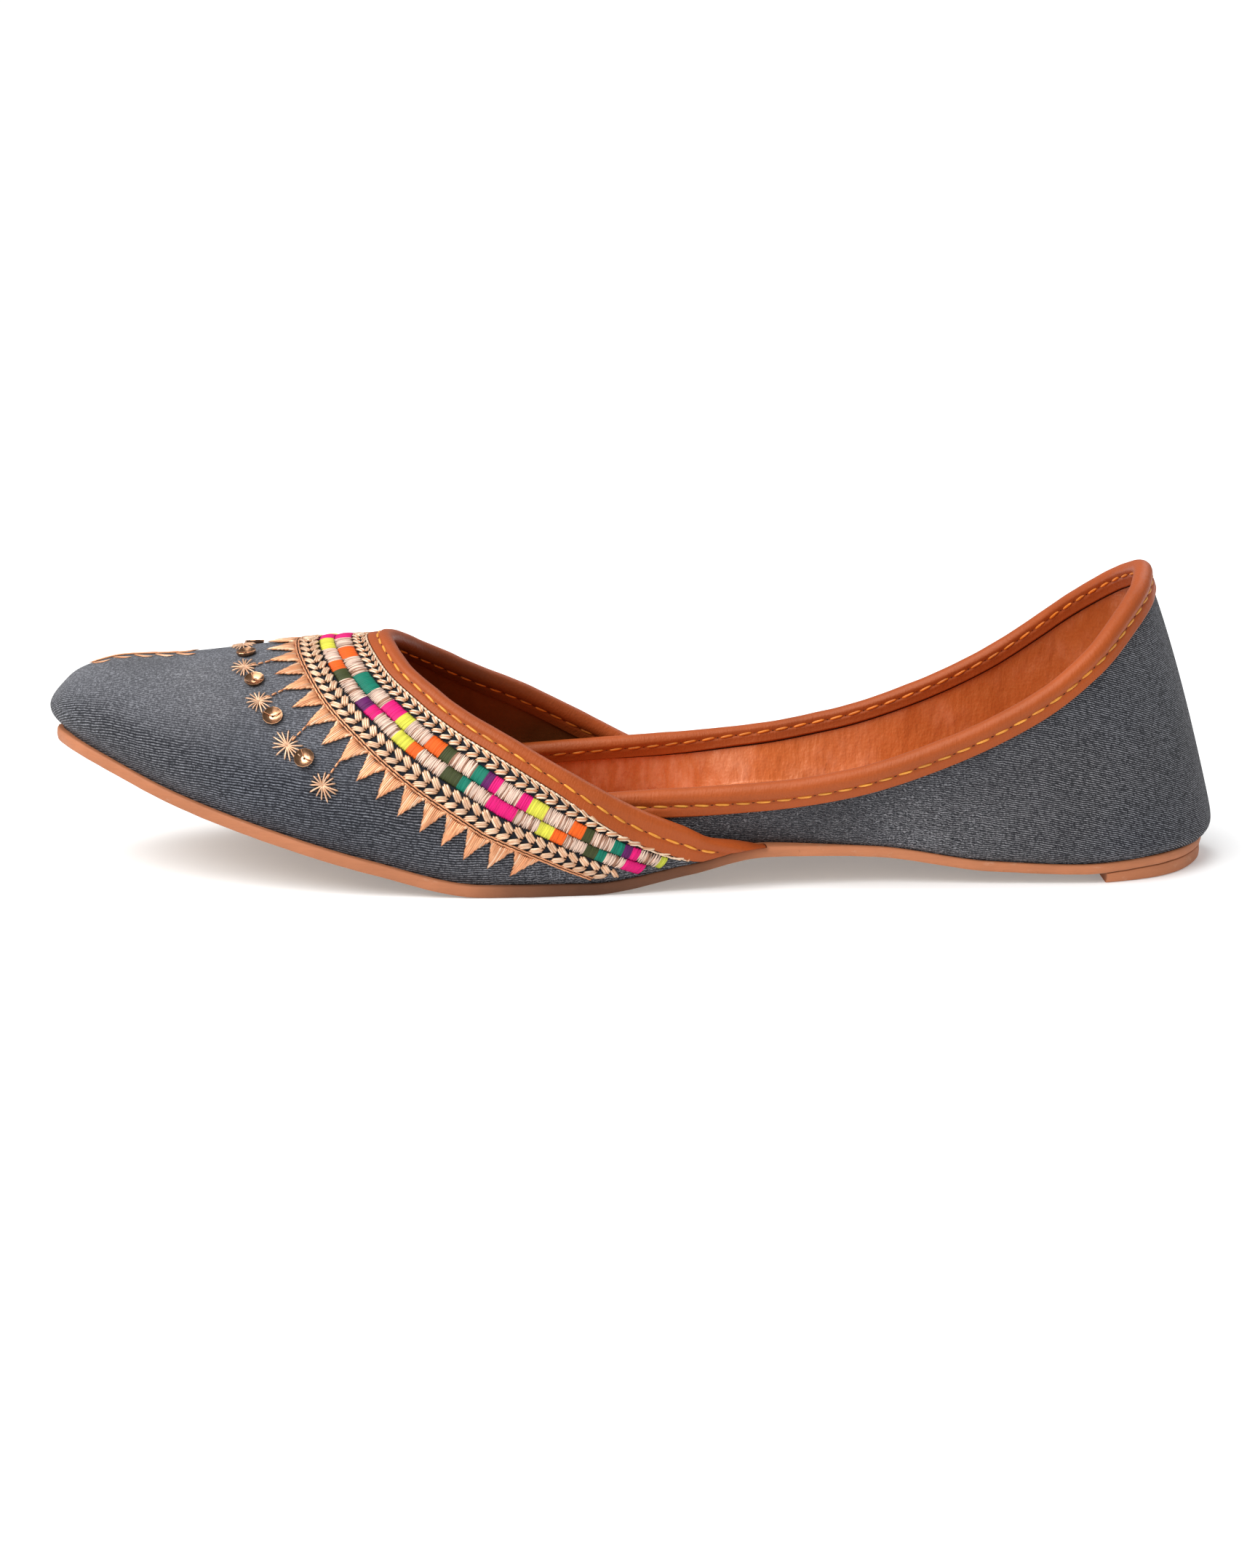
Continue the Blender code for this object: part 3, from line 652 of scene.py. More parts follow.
class Finish:
    """A material under construction: short calls add nodes, set their sockets and join them."""

    def __init__(self, name):
        self.material = bpy.data.materials.new(name)
        self.material.use_nodes = True
        self.tree = self.material.node_tree
        self.shader = self.tree.nodes["Principled BSDF"]

    def plug(self, socket, value):
        """Join an output to a socket, or set its value."""
        if isinstance(value, bpy.types.NodeSocket):
            self.tree.links.new(value, socket)
        else:
            socket.default_value = value

    def add(self, kind, inputs, **settings):
        """New node with its settings and sockets; gives back its first output."""
        node = self.tree.nodes.new("ShaderNode" + kind)
        for key, value in settings.items():
            setattr(node, key, value)
        for key, value in inputs.items():
            self.plug(node.inputs[key], value)
        return node.outputs[0]

    def math(self, operation, a, b=0.0, clamp=False):
        """Arithmetic on two values."""
        return self.add("Math", {0: a, 1: b}, operation=operation, use_clamp=clamp)

    def times(self, a, b, clamp=False):
        """Product of two values."""
        return self.math("MULTIPLY", a, b, clamp)

    def flat_place(self, x, y, z=0.0):
        """Place put together from its coordinates."""
        return self.add("CombineXYZ", {0: x, 1: y, 2: z})

    def stretched(self, place, scale):
        """Place scaled along its three axes."""
        return self.add("Mapping", {"Vector": place, "Scale": scale})

    def noise(self, vector, scale, detail=2.0, roughness=0.5):
        """Grey noise."""
        inputs = {"Vector": vector, "Scale": scale, "Detail": detail, "Roughness": roughness}
        return self.add("TexNoise", inputs)

    def ramp(self, value, low, high, start=0.0, end=1.0):
        """Value mapped from one range to another, clamped."""
        return self.add("MapRange", {0: value, 1: low, 2: high, 3: start, 4: end})

    def mix(self, share, a, b, blend="MIX"):
        """Two colours mixed by a share."""
        node = self.tree.nodes.new("ShaderNodeMix")
        node.data_type = "RGBA"
        node.blend_type = blend
        self.plug(node.inputs[0], share)
        self.plug(node.inputs[6], a if isinstance(a, bpy.types.NodeSocket) else (*a, 1.0))
        self.plug(node.inputs[7], b if isinstance(b, bpy.types.NodeSocket) else (*b, 1.0))
        return node.outputs[2]

    def object_place(self):
        """Place in the shoe's own frame, in metres."""
        node = self.tree.nodes.new("ShaderNodeTexCoord")
        return node.outputs["Object"]

    def surface_place(self):
        """The two coordinates laid over the surface."""
        node = self.tree.nodes.new("ShaderNodeUVMap")
        node.uv_map = "surface"
        split = self.tree.nodes.new("ShaderNodeSeparateXYZ")
        self.tree.links.new(node.outputs[0], split.inputs[0])
        return split.outputs[0], split.outputs[1]

    def attribute(self, name, output="Fac"):
        """Number or colour stored on the points."""
        node = self.tree.nodes.new("ShaderNodeAttribute")
        node.attribute_name = name
        return node.outputs[output]

    def add_up(self, *parts):
        """Sum of values, each with its weight."""
        total = 0.0
        for value, weight in parts:
            total = self.add("Math", {0: value, 1: weight, 2: total}, operation="MULTIPLY_ADD")
        return total

    def bump(self, height, strength, distance, under=None):
        """Relief from a height, over another relief."""
        inputs = {"Height": height, "Strength": strength, "Distance": distance}
        if under is not None:
            inputs["Normal"] = under
        return self.add("Bump", inputs)

    def set(self, **sockets):
        """Shader sockets by name, with underscores for spaces."""
        for key, value in sockets.items():
            socket = self.shader.inputs[key.replace("_", " ")]
            if socket.type == "RGBA" and not isinstance(value, bpy.types.NodeSocket):
                value = (*value, 1.0)
            self.plug(socket, value)
        return self.material


def shade(colour, factor):
    """Colour made darker or lighter."""
    return tuple(min(c * factor, 1.0) for c in colour)


def denim_finish(colours, sizes):
    """Slub denim: light weft ribs over dark warp.

    A rib is a sine across the weave, its phase wavering with noise, broken
    into dashes along it and by the warp. Cross yarns and flecks come in where
    the cloth lies level, is worn or hangs loose. Cloth that faces up is also
    painted lighter as painted light from above, and the waist is painted
    darker as painted shade.
    """
    f = Finish("denim")
    along, across = f.surface_place()
    place = f.object_place()
    wear = f.attribute("wear")
    # how level the cloth lies: it changes which yarns show, and paints light on cloth that faces up
    lie = f.attribute("lie")
    loose = f.attribute("loose")
    waver = f.times(f.noise(place, 820.0, 2.0, 0.55), f.math("MAXIMUM", loose, 0.0))
    drift = f.noise(place, 170.0, 2.0, 0.5)
    fuzz = f.noise(place, 1500.0, 2.0)
    across = f.add_up((across, 1.0), (drift, 0.9), (fuzz, 0.16), (waver, 2.1))
    number = f.math("DIVIDE", across, sizes.rib_pitch)
    rib = f.ramp(f.math("SINE", f.times(number, 2.0 * np.pi)), -0.30, 0.80)
    which = f.math("FLOOR", f.math("ADD", number, 0.25))
    dash_place = f.flat_place(f.times(along, 1.15), f.times(which, 3.37))
    dash = f.ramp(f.noise(dash_place, 1.0, 3.0, 0.7), 0.38, 0.60, 0.18, 1.0)
    warp_place = f.flat_place(f.times(along, 2.9), f.times(across, 0.55), 7.0)
    warp = f.ramp(f.noise(warp_place, 1.0, 2.0, 0.6), 0.34, 0.50, 0.42, 1.0)
    yarn = f.times(f.times(rib, dash), warp)
    cross_place = f.flat_place(f.times(along, 2.4), f.times(across, 0.4))
    cross = f.ramp(f.noise(cross_place, 1.0, 3.0, 0.7), 0.56, 0.72)
    fleck = f.ramp(f.noise(place, 2000.0, 2.0, 0.7), 0.48, 0.70)
    slub = f.ramp(f.noise(place, 46.0, 4.0, 0.62), 0.32, 0.70, 0.74, 1.06)
    ribs = f.times(yarn, f.add_up((lie, -0.60), (loose, -0.46), (1.16, 1.0)))
    crossing = f.times(cross, f.add_up((lie, 0.16), (wear, 0.30), (loose, 0.42), (0.05, 1.0)))
    flecks = f.times(fleck, f.add_up((lie, 0.56), (wear, 0.12), (loose, 0.10), (0.10, 1.0)))
    # painted light: the lie term lightens cloth that faces up; below, wear pales worn cloth and paints
    # shade at the waist
    light = f.add_up((ribs, 1.0), (crossing, 1.0), (flecks, 1.0), (lie, 0.22), (loose, 0.06))
    light = f.times(light, f.add_up((slub, 1.0), (wear, 0.32)), clamp=True)
    colour = f.mix(light, colours.denim_dark, colours.denim_light)
    tone = f.mix(f.ramp(f.noise(place, 17.0, 2.0), 0.35, 0.65), (0.92, 0.95, 1.0), (1.05, 1.02, 0.99))
    colour = f.mix(1.0, colour, tone, "MULTIPLY")
    normal = f.bump(f.add_up((yarn, 1.0), (fleck, 0.35)), 0.6, 0.0004)
    return f.set(
        Base_Color=colour, Roughness=0.9, Specular_IOR_Level=0.12, Normal=normal,
        Sheen_Weight=0.10, Sheen_Roughness=0.5)


# Pale pink of a painted sheen on the lining's crinkles
PAINTED_LINING_SHEEN = (0.86, 0.36, 0.20)


def leather_finish(name, colour, rough, grain, wrinkle, coat, rolled=False, crinkle=0.0):
    """Tanned leather: pebbled grain, soft upright creases, uneven dye.

    A rolled strap also creases over its fold, a lining crinkles and shines
    with a painted sheen on its crinkles, and both take painted shade from the
    stored deep mask.
    """
    f = Finish(name)
    place = f.object_place()
    pebble = f.add("TexVoronoi", {"Vector": place, "Scale": grain, "Randomness": 1.0})
    fine = f.noise(place, grain * 1.7, 3.0, 0.65)
    stretched = f.stretched(place, (1.0, 0.55, 0.42))
    crease = f.ramp(f.noise(stretched, 170.0, 2.0, 0.5), 0.32, 0.68)
    dye = f.ramp(f.noise(place, 38.0, 4.0, 0.6), 0.30, 0.72)
    patch = f.ramp(f.noise(stretched, 120.0, 3.0, 0.6), 0.35, 0.75)
    base = f.mix(dye, shade(colour, 0.84), shade(colour, 1.12))
    base = f.mix(f.times(patch, 0.25), base, shade(colour, 1.22))
    base = f.mix(f.times(f.ramp(pebble, 0.0, 0.45, 1.0, 0.0), 0.12), base, shade(colour, 0.55))
    gloss = f.ramp(fine, 0.25, 0.75, rough - 0.07, rough + 0.12)
    normal = f.bump(crease, wrinkle, 0.0008)
    if crinkle:
        drawn = f.stretched(place, (1.0, 0.6, 0.36))
        fold = f.noise(drawn, 460.0, 3.0, 0.62)
        deep = f.attribute("deep")
        gloss_and_painted_sheen = f.ramp(f.add_up((f.noise(place, 44.0, 3.0, 0.55), 1.0), (deep, -0.14)), 0.40, 0.66)
        # painted sheen on the crests of the crinkles, where the lining is glossy
        crest = f.times(gloss_and_painted_sheen, f.ramp(fold, 0.40, 0.66, 0.25, 1.0))
        # painted shade toward the heel
        base = f.mix(f.times(deep, 0.55), base, shade(colour, 0.58))
        base = f.mix(f.times(crest, crinkle), base, PAINTED_LINING_SHEEN)
        gloss = f.add_up((gloss, 1.0), (gloss_and_painted_sheen, -0.10))
        normal = f.bump(fold, crinkle, 0.0007, normal)
    if rolled:
        # painted shade on the inside of the strap
        base = f.mix(f.times(f.attribute("deep"), 0.75), base, shade(colour, 0.22))
        along, across = f.surface_place()
        slanted = f.add_up((along, 2.6), (across, 0.5))
        fold_place = f.flat_place(slanted, f.times(across, 0.28))
        normal = f.bump(f.noise(fold_place, 1.0, 2.0, 0.6), 0.22, 0.0005, normal)
    normal = f.bump(f.add_up((pebble, 1.0), (fine, 0.5)), 0.18, 0.00025, normal)
    return f.set(
        Base_Color=base, Roughness=gloss, Normal=normal, Specular_IOR_Level=0.34,
        Coat_Weight=coat, Coat_Roughness=0.34, Specular_Tint=(1.0, 0.74, 0.55))


# Dark brown of the painted shade on the sole's edge
PAINTED_SHADE_BROWN = (0.062, 0.024, 0.011)


def sole_finish(colours):
    """Cut sole leather: fibres along the edge, pale scuffs, dark specks, dull surface, painted shade on the
    edge between the ball and the waist, a little darker toward the toe.
    """
    f = Finish("sole_leather")
    place = f.object_place()
    fibres = f.noise(f.stretched(place, (0.22, 0.6, 3.2)), 620.0, 4.0, 0.7)
    cloud = f.ramp(f.noise(place, 60.0, 4.0, 0.62), 0.28, 0.72)
    scratches = f.noise(f.stretched(place, (1.0, 1.0, 2.4)), 190.0, 5.0, 0.72)
    scuff = f.ramp(scratches, 0.60, 0.72)
    speck = f.ramp(f.noise(place, 900.0, 2.0, 0.5), 0.70, 0.78)
    base = f.mix(cloud, shade(colours.sole, 0.86), shade(colours.sole, 1.12))
    base = f.mix(f.times(f.ramp(fibres, 0.35, 0.7), 0.28), base, shade(colours.sole, 0.70))
    base = f.mix(f.times(scuff, 0.30), base, (0.74, 0.50, 0.34))
    base = f.mix(f.times(speck, 0.25), base, shade(colours.sole, 0.45))
    # painted shade between the ball and the waist, and darker toward the toe
    burnish = f.times(f.attribute("burnish"), 0.92)
    base = f.mix(burnish, base, f.mix(cloud, PAINTED_SHADE_BROWN, shade(PAINTED_SHADE_BROWN, 1.7)))
    tread = f.mix(cloud, (0.34, 0.23, 0.16), (0.47, 0.34, 0.24))
    tread = f.mix(f.times(f.ramp(fibres, 0.42, 0.68), 0.35), tread, (0.21, 0.13, 0.085))
    tread = f.mix(f.times(scuff, 0.6), tread, (0.56, 0.44, 0.33))
    base = f.mix(f.attribute("under"), base, tread)
    normal = f.bump(f.math("ADD", fibres, f.times(scuff, 0.6)), 0.30, 0.0003)
    gloss = f.ramp(cloud, 0.0, 1.0, 0.72, 0.58)
    return f.set(Base_Color=base, Roughness=gloss, Normal=normal, Specular_IOR_Level=0.30)


GOLD_SHADOW = (0.66, 0.44, 0.30)
SILK_SHADOW = (0.82, 0.78, 0.80)


def thread_finish(name, metal, rough, strands, shadow, gleam, relief=0.35):
    """Laid thread: the colour of each strand, filaments along it with shadow between, a satin gleam."""
    f = Finish(name)
    along, across = f.surface_place()
    tint = f.attribute("tint", "Color")
    filament_place = f.flat_place(f.times(along, 1.5), f.times(across, strands))
    filament = f.noise(filament_place, 1.0, 2.0, 0.6)
    place = f.object_place()
    uneven = f.noise(place, 700.0, 2.0, 0.6)
    dark = f.mix(1.0, tint, shadow, "MULTIPLY")
    colour = f.mix(f.ramp(filament, 0.30, 0.62), dark, tint)
    colour = f.mix(f.times(f.ramp(uneven, 0.35, 0.7), 0.35), colour, dark)
    normal = f.bump(filament, relief, 0.0002)
    return f.set(
        Base_Color=colour, Metallic=metal, Roughness=rough, Normal=normal, Specular_IOR_Level=gleam)


def sequin_finish():
    """Pressed copper-coloured metal, lightly tarnished, with painted highlights and shade ring by ring in
    its tint.
    """
    f = Finish("sequin_metal")
    place = f.object_place()
    cloud = f.ramp(f.noise(place, 900.0, 3.0, 0.6), 0.3, 0.7)
    tint = f.attribute("tint", "Color")
    base = f.mix(f.times(cloud, 0.4), tint, (0.16, 0.065, 0.028))
    normal = f.bump(f.noise(place, 1500.0, 2.0), 0.08, 0.0002)
    gloss = f.ramp(cloud, 0.0, 1.0, 0.30, 0.18)
    return f.set(Base_Color=base, Metallic=1.0, Roughness=gloss, Normal=normal)


def dark_finish(name, colour):
    """Near-black close matt weave, used for painted shade: the sheet under the border, the needle holes and
    the shadow under each inside flap.
    """
    f = Finish(name)
    place = f.object_place()
    grain = f.noise(place, 1800.0, 3.0, 0.7)
    base = f.mix(f.ramp(grain, 0.35, 0.7), shade(colour, 0.6), shade(colour, 1.5))
    return f.set(Base_Color=base, Roughness=0.9, Normal=f.bump(grain, 0.4, 0.0002), Specular_IOR_Level=0.15)


# Cloth, linings, sole and sock


# Height of a foot over the sole, and of what lies on the sole
FOOT_CLEAR = 0.00002
SOLE_CLEAR = 0.0001

# Ribs of the vamp: lie between the crown's slope and the sole's, and their spread
RIB_LIE = 0.74
RIB_FAN = 0.40
RIB_SPREAD = 0.62

# Worn spots on a side, and the spot of painted shade at the waist: middle and
# reach along X, middle and reach in height, in millimetres
Spot = namedtuple("Spot", "x reach z rise")
WORN_BALL = Spot(-10.0, 17.0, 5.0, 4.5)
PALE_FLANK = Spot(62.0, 20.0, 10.0, 8.0)
# Painted shade low at the waist
WAIST_SHADE = Spot(38.0, 15.0, 13.0, 12.0)

# Slabs: rounding of the lower and the upper edge, swell of the side
SOLE_RIM = (0.0006, 0.0005, 0.00012)
LIFT_RIM = (0.0007, 0.0003, 0.00008)
SOCK_RIM = (0.0001, 0.0004, 0.0)
RIM_ANGLES = np.radians((90.0, 67.5, 45.0, 22.5, 0.0))
LIFT_BACK = 0.0008
LIFT_INSET = 0.0002
SOCK_SPREAD = 0.0008


def on_sole(points):
    """Points dropped onto the top of the sole."""
    foot = points.copy()
    foot[..., 2] = sole_over(points[..., 0]) + FOOT_CLEAR
    return foot


def vamp_half():
    """Half of the vamp as a grid, and the turn of its points.

    Rows go from the nose to the wing, columns from the foot to the crown or
    the throat, closer together on the drop under the girth line.
    """
    nose = curve_through(LAST, MESH_STEPS, ("half", "rise")).along
    edge = at_share(THROAT_CURVE, np.linspace(0.0, 1.0, VAMP_ROWS))
    foot = GIRTH_TURN + look_up(LAST_CURVE, to_x(edge.along)).belly / MILLIMETRE
    kept = edge.turn < foot - WING_TIP
    ahead = nose < edge.along[0] - TINY
    along = np.concatenate([nose[ahead], edge.along[kept]])
    top = np.concatenate([np.zeros(np.sum(ahead)), edge.turn[kept]])
    x = to_x(along)
    drop = look_up(LAST_CURVE, x).belly / MILLIMETRE
    weighted_top = np.where(top > GIRTH_TURN, GIRTH_TURN + (top - GIRTH_TURN) * DROP_WEIGHT, top)
    weighted_foot = GIRTH_TURN + drop * DROP_WEIGHT
    shares = np.linspace(0.0, 1.0, VAMP_COLUMNS)
    weighted = weighted_foot[:, None] + (weighted_top - weighted_foot)[:, None] * shares
    turn = np.where(weighted > GIRTH_TURN, GIRTH_TURN + (weighted - GIRTH_TURN) / DROP_WEIGHT, weighted)
    points = vamp_point(np.repeat(x[:, None], len(shares), axis=1), turn)
    points[0, :, 1] = 0.0
    points = np.concatenate([on_sole(points[:, :1]), points], axis=1)
    return points, np.concatenate([turn[:, :1], turn], axis=1)


def vamp_weave(points, turn):
    """Coordinates of the weave on the vamp in millimetres.

    The rib coordinate is the girth run down from the crown, less a share of
    the whole girth, so a rib lies between the crown's slope and the sole's.
    """
    x = points[:, 0, 0]
    fan = np.linspace(0.0, 1.0, DENSE_STEPS)
    foot = GIRTH_TURN + look_up(LAST_CURVE, x).belly / MILLIMETRE
    section = vamp_point(np.repeat(x[:, None], DENSE_STEPS, axis=1), foot[:, None] * fan)
    steps = np.linalg.norm(np.diff(section, axis=1), axis=-1)
    run = np.concatenate([np.zeros((len(x), 1)), np.cumsum(steps, axis=1)], axis=1)
    down = np.stack([np.interp(t, f * fan, r) for t, f, r in zip(turn, foot, run)])
    whole = run[:, -1:]
    height = 1.0 - down / np.maximum(whole, TINY)
    ribs = (down - (RIB_LIE - RIB_FAN * height) * whole) / MILLIMETRE / RIB_SPREAD
    ribs[:, 0] = ribs[:, 1] + (points[:, 1, 2] - points[:, 0, 2]) / MILLIMETRE
    return together(points[..., 0] / MILLIMETRE, ribs)


def spot_share(points, spot):
    """Strength of a spot at points: a bell along X and in height."""
    place = points / MILLIMETRE
    along = (place[..., 0] - spot.x) / spot.reach
    upright = (place[..., 2] - spot.z) / spot.rise
    return np.exp(-along ** 2 - upright ** 2)


def wear_and_shade_of(points):
    """Worn cloth and painted shade: pale on the quarter's flank and over the sole at the ball, darker at
    the waist as painted shade.
    """
    rubbed = spot_share(points, PALE_FLANK) + 1.5 * spot_share(points, WORN_BALL)
    uneven = 0.75 + 0.25 * ripple(points[..., 0] / MILLIMETRE, SEED, 4.0)
    # painted shade: the waist is made darker
    return rubbed * uneven - 0.75 * spot_share(points, WAIST_SHADE)


def looseness(points, slack):
    """Looseness of the weave: slack at the waist and where it is rubbed, firm round the heel."""
    x = points[:, 0]
    firm = within(x, 0.075, 0.030)
    loose = slack * np.exp(-((x - 0.036) / 0.040) ** 2)
    loose = loose + 0.7 * spot_share(points, WORN_BALL)
    return np.minimum(loose, 1.0) - 0.7 * firm


def store(item, name, values):
    """Store a number on each point of a mesh."""
    layer = item.data.attributes.new(name, "FLOAT", "POINT")
    layer.data.foreach_set("value", values.astype(np.float32))


def mesh_points(item):
    """Points of a mesh and their normals, as arrays."""
    points = np.empty(len(item.data.vertices) * 3, dtype=np.float32)
    normals = np.empty_like(points)
    item.data.vertices.foreach_get("co", points)
    item.data.vertex_normals.foreach_get("vector", normals)
    return points.reshape(-1, 3), normals.reshape(-1, 3)


def quarter_half():
    """Half of the quarter as a grid from the back seam forward, from the top edge down to the sole."""
    shares = np.linspace(0.0, 1.0, QUARTER_ROWS)
    heights = 1.0 - np.linspace(0.0, 1.0, QUARTER_COLUMNS) ** 0.8
    grid = np.meshgrid(shares, heights, indexing="ij")
    points = quarter_point(*grid)
    points[0, :, 1] = 0.0
    return np.concatenate([points, on_sole(points[:, -1:])], axis=1)


def quarter_weave(points):
    """Coordinates of the weave on the quarter in millimetres: level ribs, falling toward the back seam."""
    run = running_length(points[:, -8])[:, None] / MILLIMETRE
    ribs = 1.16 * points[..., 2] / MILLIMETRE + 35.0 * np.exp(-run / 48.0)
    return together(run, ribs)


def slab_half(x, half, heading, rim):
    """Half of a slab as a grid: rows run over the rim from the middle of the top to that of the base.

    The rim is a list of an inward offset and a height; the offset is taken
    along the plan normal of the outline, so ends stay round.
    """
    rows = []
    for offset, height in rim:
        if offset is None:
            rows.append(together(x, 0.0, height))
        else:
            y = np.maximum(half - heading[:, 0] * offset, 0.0)
            rows.append(together(x + heading[:, 1] * offset, y, height))
    return np.stack(rows, axis=1)


def round_rim(low, high, low_round, high_round, bulge):
    """Rim of a slab from top to base with quarter-circle edges and a slightly swollen side."""
    turns = [(1.0 - np.cos(angle), 1.0 - np.sin(angle)) for angle in RIM_ANGLES]
    top = [(high_round * inward, high - high_round * down) for inward, down in turns]
    base = [(low_round * inward, low + low_round * down) for inward, down in turns[::-1]]
    side = [(-bulge, (low + high) / 2.0)]
    return [(None, high)] + top + side + base + [(None, low)]


class JuttiOperator(bpy.types.Operator):
    """Shared settings of the shoe's operators."""

    bl_options = {"REGISTER", "UNDO"}

    def settings(self, context):
        """Sizes and colours of the shoe."""
        return context.scene.jutti_sizes, context.scene.jutti_colours


class JUTTI_OT_cloth(JuttiOperator):
    """Denim of the vamp and the quarter."""

    bl_idname = "jutti.cloth"
    bl_label = "Denim"

    def execute(self, context):
        sizes, colours = self.settings(context)
        material = denim_finish(colours, sizes)
        points, turn = vamp_half()
        shape = both_halves(points, vamp_weave(points, turn))
        vamp = make_piece("vamp_cloth", shape, material, nodes=("upper_vamp",))
        points = quarter_half()
        shape = both_halves(points, quarter_weave(points))
        quarter = make_piece("quarter_cloth", shape, material, nodes=("upper_quarter",))
        for item, slack in ((vamp, 0.55), (quarter, 1.0)):
            place, facing = mesh_points(item)
            store(item, "loose", looseness(place, slack))
            # cloth worn pale, and painted shade at the waist
            store(item, "wear", wear_and_shade_of(place))
            # how level the cloth lies, for its yarns and for painted light on cloth that faces up
            store(item, "lie", within(facing[:, 2], 0.30, 0.50))
            add_wall(item, WALL / 2.0, 0)
        return {"FINISHED"}


class JUTTI_OT_linings(JuttiOperator):
    """Leather linings inside the vamp and the quarter."""

    bl_idname = "jutti.linings"
    bl_label = "Linings"

    def execute(self, context):
        colours = self.settings(context)[1]
        material = leather_finish("lining_leather", colours.lining, 0.33, 1500.0, 0.6, 0.25, crinkle=0.6)
        # The vamp lining is the lining leather at a third of its brightness: painted shade inside the vamp
        shaded = shade(colours.lining, 0.34)
        dark = leather_finish("vamp_lining_leather", shaded, 0.55, 1500.0, 0.40, 0.05)
        vamp = make_piece("vamp_lining", both_halves(vamp_half()[0]), dark)
        quarter = make_piece("quarter_lining", both_halves(quarter_half()), material)
        # painted shade on the lining, growing toward the heel
        store(quarter, "deep", within(mesh_points(quarter)[0][:, 0], 0.050, 0.045))
        for item in (vamp, quarter):
            add_wall(item, WALL / 2.0, 1)
        return {"FINISHED"}


def sole_half():
    """Half of the sole as a grid, its edge cut slightly uneven."""
    row = curve_through(SOLE, MESH_STEPS, ("half",), ("half",))
    x = to_x(row.along)
    half = row.half * BALL_WIDTH / 2.0
    uneven = 0.0001 * ripple(x / MILLIMETRE, SEED + 1, 3.0)
    heading = plan_heading(row.along, row.half)
    rim = round_rim(sole_under(x), sole_over(x), *SOLE_RIM)
    points = slab_half(x, half + uneven * (row.half > 0.0), heading, rim)
    points[[0, -1], :, 1] = 0.0
    return points


def lift_half():
    """Half of the heel lift as a grid: the back of the sole's outline, cut square in front."""
    share = np.sin(np.linspace(0.0, np.pi / 2.0, 40))
    along = LIFT_FRONT + (SOLE[-1].along - LIFT_BACK - LIFT_FRONT) * share
    x = to_x(along)
    outline = look_up(SOLE_CURVE, x + LIFT_INSET)
    half = np.where(share < 1.0, outline.half * BALL_WIDTH / 2.0 - LIFT_INSET, 0.0)
    heading = plan_heading(along, half / BALL_WIDTH * 2.0)
    rim = round_rim(np.zeros_like(x), sole_under(x) - SOLE_CLEAR, *LIFT_RIM)
    points = slab_half(x, half, heading, rim)
    points[-1, :, 1] = 0.0
    front = points[:1].copy()
    front[..., 1] = 0.0
    return np.concatenate([front, points])


class JUTTI_OT_sole(JuttiOperator):
    """Sole with its toe spring and arch, and the lift under the heel."""

    bl_idname = "jutti.sole"
    bl_label = "Sole and lift"

    def execute(self, context):
        colours = self.settings(context)[1]
        material = sole_finish(colours)
        pieces = (("sole", sole_half(), "outsole"), ("heel_piece", lift_half(), "heel_lift"))
        for name, points, node in pieces:
            shape = both_halves(points)
            item = make_piece(name, shape, material, nodes=(node,), sharp=50.0)
            place, facing = mesh_points(item)
            # painted shade between the ball and the waist; a little darker toward the toe
            waist = np.exp(-((place[:, 0] + 0.004) / 0.028) ** 4)
            toe = 0.2 * ease(-place[:, 0], 0.0, 0.030)
            store(item, "burnish", np.maximum(waist, toe))
            store(item, "under", within(-facing[:, 2], 0.75, 0.2))
        return {"FINISHED"}


class JUTTI_OT_sock(JuttiOperator):
    """Leather sock on the sole, inside the shoe."""

    bl_idname = "jutti.sock"
    bl_label = "Sock"

    def execute(self, context):
        colours = self.settings(context)[1]
        material = leather_finish("sock_leather", shade(colours.lining, 0.95), 0.46, 1300.0, 0.30, 0.10)
        row = curve_through(SOLE, MESH_STEPS, ("half",), ("half",))
        heading = plan_heading(row.along, row.half)
        inset = row.inset - SOCK_SPREAD
        x = to_x(row.along) + heading[:, 1] * inset
        half = np.maximum(row.half * BALL_WIDTH / 2.0 - heading[:, 0] * inset, 0.0)
        half[[0, -1]] = 0.0
        foot = sole_over(x) + SOLE_CLEAR
        rim = round_rim(foot, foot + SOCK, *SOCK_RIM)
        points = slab_half(x, half, plan_heading(x / LENGTH, half / BALL_WIDTH * 2.0), rim)
        points[[0, -1], :, 1] = 0.0
        shape = both_halves(points)
        make_piece("sock", shape, material, nodes=("insole",), sharp=50.0)
        return {"FINISHED"}


# Bindings and their stitching


# Stitch lines below the edge, and how far the outside one moves with the flap
STITCH_OUTSIDE = 0.00125
STITCH_WITH_FLAP = 0.62
STITCH_THROAT_INSIDE = 0.0012
STITCH_COLLAR_INSIDE = 0.0004
STITCH_CLEAR = 0.0005

# Shares along the throat and the collar; the roll flattens along the wing
THROAT_SHARES = np.linspace(0.0, 0.93, 190)
THROAT_FLAT = 1.0 - 0.62 * within(THROAT_SHARES, 0.58, 0.20)
COLLAR_SHARES = np.linspace(0.0, 1.0, 220)

# Tail of the throat strap along X, and its slope
TAIL_FROM = 0.010
TAIL_END = 0.0268
TAIL_SLOPE = 0.41

